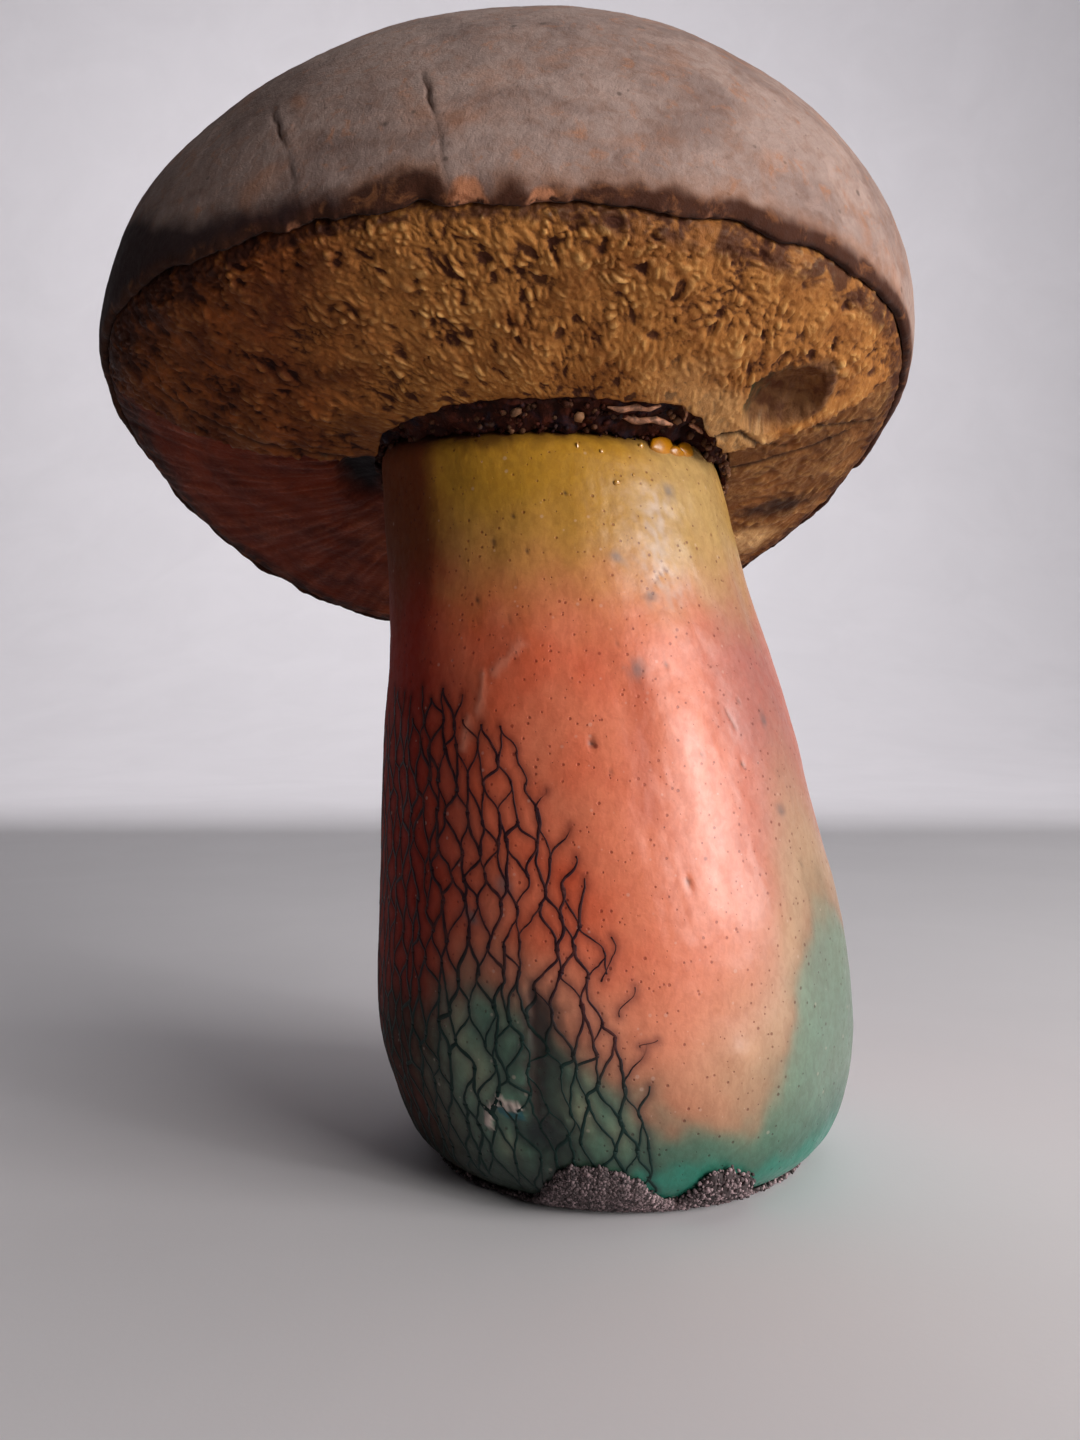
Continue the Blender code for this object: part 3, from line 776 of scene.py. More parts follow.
# Raised pink scars: (degrees, height) along each one.
STEM_SCARS = (
    ((-119.5, 53.5), (-118.2, 55.6), (-117.6, 57.4)),
    ((-114.6, 57.6), (-111.8, 58.8), (-109.5, 59.6), (-106.5, 60.6)),
    ((-124.6, 49.5), (-123.4, 51.2), (-122.8, 52.6)),
)
# Pale lilac patch under the yellow drop.
STEM_LILAC_PATCH = ((-60.5, 76.0), (-63.5, 72.5), (-65.5, 69.0), (-62.0, 66.5))
STEM_STREAK = ((-78.0, 56.0), (-79.5, 50.0), (-81.0, 43.0))  # redder paint beside the sheen
STEM_SCRATCHES = (((-53.6, 53.4), (-52.4, 51.8)), ((-67.4, 67.5), (-64.0, 68.3), (-62.0, 68.9)))
FOOT_HOLLOW = (-111.9, 9.6)  # degrees, height
FOOT_CRACK = ((-110.2, 24.0), (-109.5, 20.8), (-109.6, 17.7), (-110.4, 14.5), (-110.4, 11.5))
CHIP_PALE = ((-122.6, 9.6), (-121.8, 11.6), (-120.2, 12.4), (-118.5, 13.3), (-116.9, 12.4), (-115.0, 12.3))
CHIP_TEAL = ((-118.9, 12.0), (-116.9, 11.5), (-114.9, 11.4))
# Near-black in and beside the groove, a dark line along the top of the green, pale patches in the net's cells
# at the foot.
FOOT_SHADE = ((-108.5, 22.0), (-107.0, 18.5), (-106.5, 14.5), (-107.5, 10.0), (-107.0, 7.0))
GREEN_EDGE = ((-131.0, 23.0), (-122.0, 24.5), (-114.0, 25.0), (-106.0, 24.3), (-101.0, 22.0))
# Each pale patch: degrees, height, half width, half height, strength.
FOOT_PALE = (
    (-100.6, 12.6, 1.5, 2.6, 1.0), (-104.0, 13.5, 0.9, 2.0, 0.7), (-98.0, 17.0, 1.2, 2.6, 0.5),
    (-123.5, 15.5, 2.2, 3.0, 0.9), (-128.0, 19.0, 1.6, 3.2, 0.8), (-119.0, 7.5, 1.3, 1.8, 0.7),
    (-93.5, 10.5, 1.6, 2.2, 0.5), (-117.0, 21.0, 1.0, 2.2, 0.5),
)
FOOT_BRIGHT = ((-118.5, 20.5), (-116.8, 18.5), (-115.5, 16.5))


def near_path(angle, height, path, width):
    """exp(-(d / width)^2) of the distance d in mm from a path of (degrees, height) on the stem."""
    scale = float(stem_radius(np.array(path[0][1], float)))
    flat = [(math.radians(degrees) * scale, z) for degrees, z in path]
    around = ((angle + math.pi) % TURN - math.pi) * scale
    return bell(distance_to_path(around, height, flat) / width)


def stem_marks(angle, height):
    """The stem's marks, each from 0 to 1, and the depth of its dents in mm. A dent or bruise is
    exp(-(d / radius)^2) of the distance d from its middle. The hollow is exp(-1.3 (a^2 + b^2)), with a the
    distance across over 3.2 mm and b the distance up over 2 mm. Scars, scratches and the other marks lie along
    paths, by near_path."""
    spot = on_stem(angle, height)
    degrees = np.degrees((angle + math.pi) % TURN - math.pi)
    scale = np.radians(1.0) * stem_radius(height)
    zero = np.zeros(spot.shape[:-1])
    marks = {"dents": zero, "depth": zero, "bruises": zero, "scars": zero, "scratches": zero}
    for middle, z, radius, deep in STEM_DENTS:
        inside = bell(np.hypot((degrees - middle) * scale, height - z) / radius)
        marks["dents"] = np.maximum(marks["dents"], inside)
        marks["depth"] = marks["depth"] + deep * inside
    torn = 1.0 + 0.6 * noise(spot, 1.1, 92)
    for middle, z, radius in STEM_BRUISES:
        away = np.hypot((degrees - middle) * scale, height - z) / (radius * torn)
        marks["bruises"] = np.maximum(marks["bruises"], bell(away))
    bent = angle + 0.012 * noise(spot, 1.5, 91), height + 0.3 * noise(spot, 1.5, 93)
    for path in STEM_SCARS:
        marks["scars"] = np.maximum(marks["scars"], near_path(*bent, path, 0.50 * torn))
    for path in STEM_SCRATCHES:
        marks["scratches"] = np.maximum(marks["scratches"], near_path(*bent, path, 0.16))
    marks["crack"] = near_path(*bent, FOOT_CRACK, 0.95 * torn)
    # The darkest marks: near-black in and beside the groove, a dark line along the top of the green, and low on
    # the left a painted shadow.
    marks["shade"] = np.maximum(
        near_path(*bent, FOOT_SHADE, 3.0 * torn), 0.20 * near_path(*bent, GREEN_EDGE, 1.3 * torn),
    )
    low_left_painted_shadow = smooth_step((9.5 - height + 1.5 * (torn - 1.0)) / 6.0) * smooth_step((-102.0 - degrees) / 12.0)
    marks["shade"] = np.maximum(marks["shade"], 0.92 * low_left_painted_shadow * smooth_step((degrees + 250.0) / 40.0))
    marks["bright"] = near_path(*bent, FOOT_BRIGHT, 1.5 * torn)
    marks["lilac_patch"] = near_path(*bent, STEM_LILAC_PATCH, 1.9 * torn) * smooth_step(0.55 + 0.9 * noise(spot, 1.1, 95))
    marks["streak"] = near_path(*bent, STEM_STREAK, 1.3)
    marks["chip"] = smooth_step((near_path(*bent, CHIP_PALE, 0.55 * torn) - 0.30) / 0.35)
    marks["chip"] = marks["chip"] * smooth_step(0.85 + noise(spot, 0.7, 94))
    marks["teal"] = smooth_step((near_path(*bent, CHIP_TEAL, 0.55) - 0.30) / 0.35)
    pale = zero
    for middle, z, wide, tall, most in FOOT_PALE:
        away = np.hypot((degrees - middle) * scale / wide, (height - z) / tall)
        pale = np.maximum(pale, most * bell(away))
    marks["pale"] = pale
    across, up = (degrees - FOOT_HOLLOW[0]) * scale / 3.2, (height - FOOT_HOLLOW[1]) / 2.0
    marks["hollow"] = np.exp(-1.3 * (across**2 + up**2) / torn)
    return marks


def stem_relief(stem, angle, height):
    """How far the stem's skin stands out of the turned shape: upright swells, smaller ones, fine noise, a knob
    low on the right, scars and the chip outwards; dents, scratches, crack and hollow inwards."""
    spot = on_stem(angle, height)
    tall = spot * np.array((1.0, 1.0, 0.4))
    fade = smooth_step(height / 5.0) * smooth_step((STEM_SHOULDER - height) / 4.0)
    swell = stem.swell / MM * fade * (noise(tall, 9.0, 101) + 0.4 * noise(spot, 5.0, 102))
    fine = 0.030 * noise(spot, 1.6, 103) + 0.012 * noise(spot, 0.7, 104)
    marks = stem_marks(angle, height)
    knob = 0.45 * bell(np.hypot((degrees_apart(angle, -67.0)) * 0.5, height - 17.5) / 2.0)
    outwards = swell + fine + knob + 0.09 * marks["scars"] + 0.34 * marks["chip"]
    return outwards - marks["depth"] - 0.10 * marks["scratches"] - 0.55 * marks["crack"] - 0.8 * marks["hollow"]


def stem_surface(stem, angle, height, lift=0.0):
    """Points of the finished stem's side, lift mm out of it."""
    return leaned(stem_radius(height) + stem_relief(stem, angle, height) + lift, angle, height)


# Height of the top of the green: (degrees, mm).
GREEN_TOP = (
    (-180, 21), (-165, 21), (-150, 24), (-133, 25), (-117, 26.5), (-106, 23.5), (-98, 20), (-90, 16), (-80, 14),
    (-70, 13.5), (-62, 14.5), (-56, 18), (-51, 24), (-46, 30), (-40, 34), (-32, 35), (-22, 32), (-5, 25),
    (20, 18), (50, 14), (80, 18), (110, 25), (140, 20), (160, 17),
)
# Strokes beside the net: (degrees, height) of both ends.
NET_STRAYS = (((-88.0, 19.5), (-84.6, 20.2)), ((-92.0, 30.5), (-95.0, 26.0)), ((-88.5, 25.5), (-92.5, 22.5)))
# Right edge of the net: (height, degrees).
NET_RIGHT = (
    (6.0, -82.0), (10.8, -84.8), (19.2, -88.2), (25.2, -91.0), (36.1, -95.0), (44.2, -102.0), (52.5, -110.5),
    (57.0, -128.0),
)


def paint_masks(angle, height):
    """Shares of the paints over the stem, from its tables: olive and ochre from the top down, green from the
    foot up, cream where the green meets the salmon, coral on the left, a dark left side that is partly maroon
    paint and partly painted shade, paler paint on the right that is painted window light, dark drips at the
    neck and teal at the base."""
    spot = on_stem(angle, height)
    wide, small = layered_noise(spot, 9.0, 111, 3), noise(spot, 2.5, 113)
    ochre = smooth_step((height - 66.5 + 2.0 * wide + 0.8 * small) / 14.0 + 0.5)
    olive = smooth_step((height - 72.5 + 2.5 * wide) / 13.0 + 0.5)
    top = round_table(angle, GREEN_TOP)
    green = smooth_step((top - height + 2.6 * wide + 0.9 * small) / 11.0 + 0.42)
    right = smooth_step((50.0 - np.abs(degrees_apart(angle, -40.0))) / 30.0)
    reach = 4.5 + 6.0 * right
    cream = bell((height - top - 2.0 + 1.5 * wide) / reach) * (0.25 + 0.52 * right)
    foot = smooth_step((13.5 - height + 1.5 * wide) / 8.0)
    from_front = degrees_apart(angle, -105.0)
    coral = smooth_step(0.5 + 0.5 * wide - from_front / 55.0) * smooth_step((from_front + 165.0) / 60.0)
    drip = smooth_step(1.2 - np.abs(degrees_apart(angle, -112.0)) / 15.0 + small)
    drip = drip * smooth_step((height - 81.0 - 1.2 * small) / 2.0)
    # The dark left side, partly the net's maroon paint and partly painted shade, reaching up to the top.
    left = degrees_apart(angle, -180.0) - 180.0 + 2.5 * wide + 1.5 * small
    upper = smooth_step((height - 52.0) / 12.0)
    lower = smooth_step((27.0 - height) / 7.0)
    shift = 8.0 * upper + 9.0 * lower + 6.0 * bell((height - 62.0) / 5.0)
    maroon_and_shade = smooth_step((-114.0 - shift - left) / (31.0 - 17.0 * upper - 8.0 * lower))
    maroon_and_shade = maroon_and_shade * smooth_step((left + 240.0) / 40.0)
    # Painted light: paler paint on the right side, where the window light falls.
    pale = smooth_step((degrees_apart(angle, -72.0) + 4.0 * wide) / 34.0) * smooth_step(
        -(angle_apart(angle, 60.0) + 1.0) / 0.6
    )
    soft_edge = 0.55 * smooth_step((height - 81.6 + 1.0 * small + 0.5 * wide) / 2.2)
    neck = np.maximum(np.maximum(smooth_step((height - 83.3 + 0.5 * small) / 0.7), soft_edge), 0.80 * drip)
    base = smooth_step((7.5 - height + 1.5 * wide + 0.8 * small) / 3.0) * smooth_step(
        (degrees_apart(angle, -94.0) + 3.0 * small) / 8.0
    )
    shares = {
        "ochre": ochre, "olive": olive, "green": green, "cream": cream, "foot": foot,
        "base": base * (angle_apart(angle, 60.0) < 0),
    }
    return {**shares, "coral": coral, "maroon_and_shade": maroon_and_shade, "painted_window_light": pale, "neck": neck}


def stem_points(stem):
    """Grid of the stem from the cut top, down the side to the edge of the foot. The rows under the shoulder
    are the same for every column; the rows of the neck end where the leaning side meets W = 0.9."""
    angle = front_dense_angles(STEM_COLUMNS)[None, :]
    low = np.linspace(0.0, 1.0, 172)
    low = SIDE_TOP * (low - 0.035 * np.sin(TURN * low))
    low = np.concatenate((low, SHOULDER_ROWS))[:, None] + 0 * angle
    first, second = (leaned(STEM_NECK_RADIUS, angle, probe + 0 * angle) for probe in NECK_PROBES)
    w0, w1 = (((p - CAP_CENTRE) @ CAP_TURN)[..., 2] for p in (first, second))
    top = NECK_PROBES[0] + (NECK_PROBES[1] - NECK_PROBES[0]) * (STEM_TOP_W - w0) / (w1 - w0)
    neck = SHOULDER_ROWS[-1] + (top - SHOULDER_ROWS[-1]) * np.array((0.25, 0.5, 0.75, 1.0))[:, None]
    height = np.concatenate((low, neck))[::-1]
    angle = angle + 0 * height
    points = stem_surface(stem, angle, height)
    return points, {**stem_marks(angle, height), **paint_masks(angle, height)}


# Net --------------------------------------------------------------------------------------------


def net_share(angle, height):
    """1 where the net is painted, falling to 0 at its edges: right of a slanting line, over the top and
    round the back."""
    heights, degrees = np.array(NET_RIGHT).T
    a = degrees_apart(angle, -160.0) - 160.0
    wander = 2.5 * noise(on_stem(angle, height), 6.0, 121)
    right = smooth_step((np.interp(height, heights, degrees) + wander - a) / 5.0)
    left = smooth_step((a + 262.0 + 2 * wander) / 18.0)
    top = smooth_step((57.5 + wander - height - 0.05 * np.abs(a + 150.0)) / 9.0)
    return right * left * top


def net_points(stem, net):
    """Painted lines as low closed bands. Knots stand on a brick pattern, moved at random; each is joined to the
    two below it. A line's way across is t^2 (3 - 2t) of its way down, so that lines meet upright. Its width
    is greatest at the knots and follows net_share. Returns points (lines, steps, 4, 3)."""
    random = np.random.default_rng(7)
    across = math.degrees(net.cell_width / MM / STEM_FIELD)
    down = net.cell_height / MM / 2.0
    columns, rows = int(190 / across), int(60.0 / down)
    i, j = np.meshgrid(np.arange(columns + 1), np.arange(rows + 2), indexing="ij")
    a = -265.0 + (i + 0.5 * (j % 2)) * across + random.uniform(-0.34, 0.34, i.shape) * across
    z = -0.5 + j * down + random.uniform(-0.36, 0.36, i.shape) * down
    starts, ends = [], []
    for side in (0, 1):
        col = i[:, 1:] + np.where(j[:, 1:] % 2 == 1, side, side - 1)
        good = (col >= 0) & (col <= columns)
        col = np.clip(col, 0, columns)
        starts.append(np.stack((a[:, 1:], z[:, 1:]), -1)[good])
        ends.append(np.stack((a[col, j[:, 1:] - 1], z[col, j[:, 1:] - 1]), -1)[good])
    for line in NET_STRAYS:
        starts.append(np.array([line[0]]))
        ends.append(np.array([line[1]]))
    start, end = np.concatenate(starts), np.concatenate(ends)
    stray = np.arange(len(start)) >= len(start) - len(NET_STRAYS)
    t = np.linspace(0.0, 1.0, 12)[None, :]
    bow = random.uniform(-0.14, 0.14, (len(start), 1)) * across * np.sin(math.pi * t)
    angle = start[:, :1] + (end - start)[:, :1] * smooth_step((t - 0.08) / 0.84) + bow
    height = start[:, 1:] + (end - start)[:, 1:] * t
    angle = np.radians(angle)
    spot = on_stem(angle, height)
    angle = angle + 0.014 * noise(spot, 2.6, 131) + 0.006 * noise(spot, 1.0, 133)
    share = np.maximum(net_share(angle, height), 0.6 * stray[:, None])
    drop = random.uniform(0, 1, len(start))
    kept = (share.mean(1) > 0.22) & (drop < 0.80 + 0.16 * share.mean(1)) & (height.min(1) > 0.6) | stray
    angle, height, share, t = angle[kept], height[kept], share[kept], np.repeat(t, kept.sum(), 0)
    thick = random.uniform(0.60, 1.35, (len(angle), 1)) * (1.0 - 0.35 * stray[kept][:, None])
    thick = thick * (1.0 + 0.35 * smooth_step((-np.degrees(angle) - 108.0) / 25.0))
    half = 0.5 * net.line / MM * thick * (0.80 + 0.50 * (2 * t - 1) ** 6) * share**0.3
    half = half * (1.0 + 0.45 * noise(on_stem(angle, height), 1.3, 132))
    radius = stem_radius(height)
    step_s, step_z = np.gradient(angle, axis=1) * radius, np.gradient(height, axis=1)
    length = np.hypot(step_s, step_z)
    side_s, side_z = -step_z / length, step_s / length
    ring = []
    for way, lift in ((-1.0, -0.10), (-0.55, 0.03), (0.55, 0.03), (1.0, -0.10)):
        where = angle + way * half * side_s / radius, height + way * half * side_z
        ring.append(stem_surface(stem, *where, lift))
    return np.stack(ring, 2)


def near_lines(points, lines):
    """exp(-(d / 0.6)^2) of each point's distance d in mm from the middles of the net's bands."""
    middles = lines.mean(2)
    middles = np.concatenate((middles[:, :-1], 0.5 * (middles[:, :-1] + middles[:, 1:])), 1).reshape(-1, 3)
    tree = KDTree(len(middles))
    for number, middle in enumerate(middles):
        tree.insert(middle, number)
    tree.balance()
    low, high = middles.min(0) - 2.0, middles.max(0) + 2.0
    close = np.flatnonzero(((points > low) & (points < high)).all(1))
    away = np.full(len(points), 9.0)
    away[close] = [tree.find(point)[2] for point in points[close]]
    return bell(away / 0.6)


def band_faces(lines, steps, around):
    """Four-sided faces of closed bands, and of their two ends when around is 4."""
    line = (np.arange(lines) * steps * around)[:, None, None]
    step = (np.arange(steps - 1) * around)[None, :, None]
    k = np.arange(around)[None, None, :]
    after = (k + 1) % around
    quads = np.stack(
        (line + step + k, line + step + after, line + step + around + after, line + step + around + k), -1,
    )
    first = np.arange(lines)[:, None] * steps * around + np.array((3, 2, 1, 0))
    last = np.arange(lines)[:, None] * steps * around + (steps - 1) * around + np.array((0, 1, 2, 3))
    return np.concatenate((quads.reshape(-1, 4), first, last))


# Seam shapes ------------------------------------------------------------------------------------


def clear_of_stem(points):
    """Distance from points to the side of the leaning stem, negative inside."""
    x, y, z = np.moveaxis(points, -1, 0)
    side = smooth_step(1.0 + y / np.maximum(np.hypot(x + 9.0, y), 1.0))
    near_top = smooth_step((z - STEM_SHOULDER + 6.0) / 7.0)
    height = z - STEM_SHOULDER_LIFT * side * near_top
    back = np.maximum(0.0, height - STEM_SHOULDER) * math.tan(CAP_TIP_BACK)
    return np.hypot(x - stem_shift(height), y - back) - stem_radius(height)


def filler_points(seam):
    """Ring of filler between the top of the stem and the hole in the pore layer. Its inner side lies where a
    bisection along each ray of the cap's frame finds the stem, its outer side on the hole; its lower side is
    crumbled."""
    angle = np.linspace(0.0, TURN, FILLER_COLUMNS, endpoint=False)[None, :]
    profile = np.array(
        [(1.0, t) for t in (1.0, 0.8, 0.6, 0.4, 0.2, 0.08)]
        + [(t, 0.0) for t in (0.97, 0.85, 0.7, 0.55, 0.4, 0.25, 0.12, 0.03)]
        + [(0.0, t) for t in (0.08, 0.2, 0.4, 0.6, 0.8, 1.0)]
        + [(0.35, 1.0), (0.7, 1.0)]
    )
    share, tall = (x[:, None] for x in profile.T)
    front = 1.0 - smooth_step(0.5 + 0.6 * np.sin(angle))
    low = FILLER_BOTTOM[0] + (FILLER_BOTTOM[1] - FILLER_BOTTOM[0]) * front
    shoulder = ((leaned(18.9, angle, 84.0 + 0 * angle) - CAP_CENTRE) @ CAP_TURN)[..., 2] + 0.2
    low = np.minimum(low, shoulder + 1.2 * share)
    w = low + (FILLER_TOP - low) * tall
    along = np.stack((np.cos(angle) + 0 * w, HOLE_STRETCH * np.sin(angle) + 0 * w, 0 * w), -1)
    centre = np.stack((HOLE_CENTRE[0] + 0 * w, HOLE_CENTRE[1] + 0 * w, w), -1)
    outer = hole_radius(angle) - FILLER_GAP + 0 * w
    inside, outside = np.full(w.shape, 8.0), outer.copy()
    for _ in range(26):
        middle = (inside + outside) / 2
        near = clear_of_stem(from_cap(centre + along * middle[..., None])) < FILLER_GAP + 0.1
        inside, outside = np.where(near, middle, inside), np.where(near, outside, middle)
    points = centre + along * (outside + (outer - outside) * share)[..., None]
    spot = points * np.array((1.0, 1.0, 1.4))
    lump = noise(spot, 1.9, 141) + 0.7 * np.abs(noise(spot, 0.9, 142)) + 0.3 * noise(spot, 0.45, 143)
    low_side = smooth_step((0.75 - tall) / 0.4)
    points[..., 2] -= seam.crumble / MM * low_side * lump
    return from_cap(points), np.clip(0.5 + 0.45 * lump, 0, 1)


def lump_points(centres, radii, seed, rough=0.22):
    """Small rough lumps: the corners of a twenty-sided solid pushed in and out at random, stretched by each
    lump's three radii and turned at random. Returns points (lumps, 12, 3)."""
    random = np.random.default_rng(seed)
    corners, _ = twenty_sided()
    count = len(centres)
    shape = corners[None] * (1.0 + random.uniform(-rough, rough, (count, 12, 1)))
    shape = shape * np.asarray(radii)[:, None, :]
    axes = np.linalg.qr(random.normal(size=(count, 3, 3)))[0]
    axes[:, :, 0] *= np.sign(np.linalg.det(axes))[:, None]
    return np.einsum("nij,nkj->nki", axes, shape) + np.asarray(centres)[:, None, :]


def twenty_sided():
    """Corners and faces of a regular twenty-sided solid of radius 1."""
    g = (1 + math.sqrt(5)) / 2
    corners = [(-1, g, 0), (1, g, 0), (-1, -g, 0), (1, -g, 0), (0, -1, g), (0, 1, g)]
    corners += [(0, -1, -g), (0, 1, -g), (g, 0, -1), (g, 0, 1), (-g, 0, -1), (-g, 0, 1)]
    faces = [(0, 11, 5), (0, 5, 1), (0, 1, 7), (0, 7, 10), (0, 10, 11), (1, 5, 9), (5, 11, 4), (11, 10, 2)]
    faces += [(10, 7, 6), (7, 1, 8), (3, 9, 4), (3, 4, 2), (3, 2, 6), (3, 6, 8), (3, 8, 9), (4, 9, 5)]
    faces += [(2, 4, 11), (6, 2, 10), (8, 6, 7), (9, 8, 1)]
    return np.array(corners, float) / math.hypot(1, g), np.array(faces)


def lumps_object(name, points):
    """One object of many small lumps."""
    faces = twenty_sided()[1]
    count = points.shape[0]
    triangles = (faces[None] + 12 * np.arange(count)[:, None, None]).reshape(-1, 3)
    return mesh_object(name, points.reshape(-1, 3), np.zeros((0, 4), int), triangles)


CRUMB_ROWS = (4, 15)  # rows of the filler that crumbs lie on: its outer and lower side
CRUMB_MIDDLE = 268.0  # degrees round which they crowd
CAMERA_PLACE = np.array((-9.8, -150.0, 52.5))  # mm
# Torn flakes: points (x, y, z) along the middle, then width, tilt in degrees and curl.
FLAKES = (
    (
        ((-2.7, -22.8, 85.7), (-1.2, -23.0, 85.3), (0.3, -23.1, 85.6), (1.6, -23.1, 85.3), (3.0, -23.0, 85.8)),
        0.60, 15, 0.5,
    ),
    (((-1.4, -22.4, 84.9), (0.7, -22.7, 84.2), (2.3, -22.7, 84.4), (4.2, -22.3, 83.9)), 0.85, -12, 0.6),
    (((1.4, -22.9, 86.5), (2.7, -23.0, 86.3), (4.0, -22.9, 86.6)), 0.38, 5, 0.5),
    (((4.6, -22.8, 86.7), (5.4, -22.9, 86.2), (5.8, -22.7, 85.3), (5.6, -22.3, 84.3)), 0.60, 60, 0.4),
    (((-10.9, -22.4, 87.0), (-9.9, -22.6, 87.2), (-8.8, -22.4, 87.0)), 0.45, 10, 0.4),
    (((6.2, -21.8, 84.1), (7.0, -21.4, 83.8), (7.7, -21.0, 83.3)), 0.55, 30, 0.5),
)
# Beads in the seam: middle, then radii in mm.
BEADS = (
    ((-12.4, -21.3, 85.5), (0.52, 0.40, 0.75)), ((-5.6, -21.3, 85.0), (0.85, 0.50, 0.65)),
    ((-4.0, -21.0, 84.0), (0.42, 0.40, 0.36)), ((-16.3, -20.2, 84.2), (0.40, 0.40, 0.34)),
    ((6.6, -19.0, 83.6), (0.50, 0.45, 0.55)), ((8.8, -17.6, 82.6), (0.42, 0.42, 0.60)),
)
# Drops of varnish and thick paint: degrees and height on the stem, radii across, out and up in mm.
VARNISH_DROPS = (
    (-80.9, 82.2, 0.15, 0.18, 0.42), (-73.8, 81.7, 0.24, 0.20, 0.28), (-72.3, 78.2, 0.34, 0.20, 0.30),
    (-58.4, 82.7, 0.36, 0.24, 0.34), (-66.0, 79.2, 0.18, 0.13, 0.18),
)
YELLOW_DROPS = ((-49.5, 82.7, 1.9, 0.60, 1.15), (-38.0, 82.4, 1.6, 0.60, 1.05), (-44.0, 82.2, 1.3, 0.5, 0.7))


def pushed_back(path, surface, gap=0.25):
    """Points moved along the camera's lines of sight until they lie gap mm in front of the surface's points;
    half of each move is the path's mean, so that a strip stays smooth."""
    sight = np.array(path) - CAMERA_PLACE
    reach = np.linalg.norm(sight, axis=1)
    sight /= reach[:, None]
    away = surface.reshape(-1, 3) - CAMERA_PLACE
    along = away @ sight.T
    aside = np.linalg.norm(away[:, None] - along[..., None] * sight, axis=-1)
    first = np.where(aside < 0.7, along, np.inf).min(0)
    first = np.where(np.isfinite(first), first, reach + gap) - gap
    move = np.clip(first - reach, 0.0, 6.0)
    return CAMERA_PLACE + sight * (reach + 0.5 * (move + move.mean()))[:, None]


def flake_points(flake, thickness=0.2):
    """Closed thin strip along a smooth path: across it, the strip is an arc; its edges wander. Rows go along
    it, and the 12 columns go across its upper side and back along its lower side."""
    path, width, tilt, curl = flake
    path = np.array(path)
    rows = 26
    t = np.linspace(0, len(path) - 1, rows)
    middle = np.stack([np.interp(t, np.arange(len(path)), path[:, axis]) for axis in range(3)], -1)
    middle[1:-1] = (middle[:-2] + 2 * middle[1:-1] + middle[2:]) / 4
    along = np.gradient(middle, axis=0)
    along /= np.linalg.norm(along, axis=1, keepdims=True)
    up = np.array((0.0, -math.sin(math.radians(tilt)), math.cos(math.radians(tilt))))
    out = np.cross(along, up)
    out /= np.linalg.norm(out, axis=1, keepdims=True)
    up = np.cross(out, along)
    across = np.concatenate((np.linspace(-1, 1, 6), np.linspace(1, -1, 6)))
    side = np.concatenate((np.ones(6), -np.ones(6))) * thickness / 2
    taper = np.sqrt(np.clip(np.sin(np.linspace(0.12, math.pi - 0.12, rows)), 0, 1))
    wander = 1.0 + 0.45 * noise(middle, 1.1, 151)
    half = (width / 2 * taper * wander)[:, None]
    bulge = curl * (1 - across[None] ** 2) * half + side[None] + 0.18 * noise(middle, 0.9, 152)[:, None]
    return middle[:, None] + up[:, None] * (half * across[None])[..., None] + out[:, None] * bulge[..., None]


def drop_points(degrees, height, radii, seed):
    """A smooth, slightly uneven drop on the stem: an ellipsoid (cos t cos a, cos t sin a, sin t), swollen by a
    noise, with its radii across, out of the stem and up. Returns its grid and its two poles."""
    angle = np.linspace(0, TURN, 24, endpoint=False)[None, :]
    t = np.linspace(math.pi / 2, -math.pi / 2, 15)[1:-1, None]
    ball = np.stack((np.cos(t) * np.cos(angle), np.cos(t) * np.sin(angle), np.sin(t) + 0 * angle), -1)
    poles = np.array(((0, 0, 1.0), (0, 0, -1.0)))
    turn = math.radians(degrees)
    way = np.array(
        ((-math.sin(turn), math.cos(turn), 0.0), (math.cos(turn), math.sin(turn), 0.0), (0.0, 0.0, 1.0))
    )
    middle = leaned(stem_radius(np.array(height)), np.array(turn), np.array(height))
    moved = [p * (1.0 + 0.20 * noise(p, 0.9, seed))[..., None] * radii @ way + middle for p in (ball, poles)]
    return moved[0], moved[1]


def drops_object(name, drops):
    """One object of all the drops of a kind."""
    points, quads, triangles, count = [], [], [], 0
    for seed, (degrees, height, *radii) in enumerate(drops):
        grid, poles = drop_points(degrees, height, np.array(radii), 190 + seed)
        rows, columns = grid.shape[:2]
        column = np.arange(columns)
        after, last = (column + 1) % columns, (rows - 1) * columns
        quads.append(round_quads(rows, columns)[:, ::-1] + count)
        top = np.stack((np.full(columns, rows * columns), after, column), -1)
        bottom = np.stack((np.full(columns, rows * columns + 1), last + column, last + after), -1)
        triangles += [top + count, bottom + count]
        points += [grid.reshape(-1, 3), poles]
        count += rows * columns + 2
    return mesh_object(name, np.concatenate(points), np.concatenate(quads), np.concatenate(triangles))


# Grit shapes ------------------------------------------------------------------------------------


def crust_height(angle):
    """Height of the crust's ragged upper edge."""
    front = np.abs(degrees_apart(angle, 274.0))
    base = 0.22 + 0.58 * smooth_step((40.0 - front) / 14.0)
    tall = base * CRUST_BASE * (1.0 + 0.25 * np.sin(7 * angle) + 0.15 * np.sin(13 * angle))
    for middle, width, extra in CRUST_PATCHES:
        apart = degrees_apart(angle, middle)
        tall = tall + extra * np.exp(-(np.abs(apart / width) ** 4.0))
    spot = on_cylinder(CRUST_FIELD, angle)
    ragged = 0.9 * noise(spot, 2.6, 161) + 0.6 * noise(spot, 1.0, 162)
    return np.maximum(tall + ragged * np.minimum(tall, 1.0), 0.12)


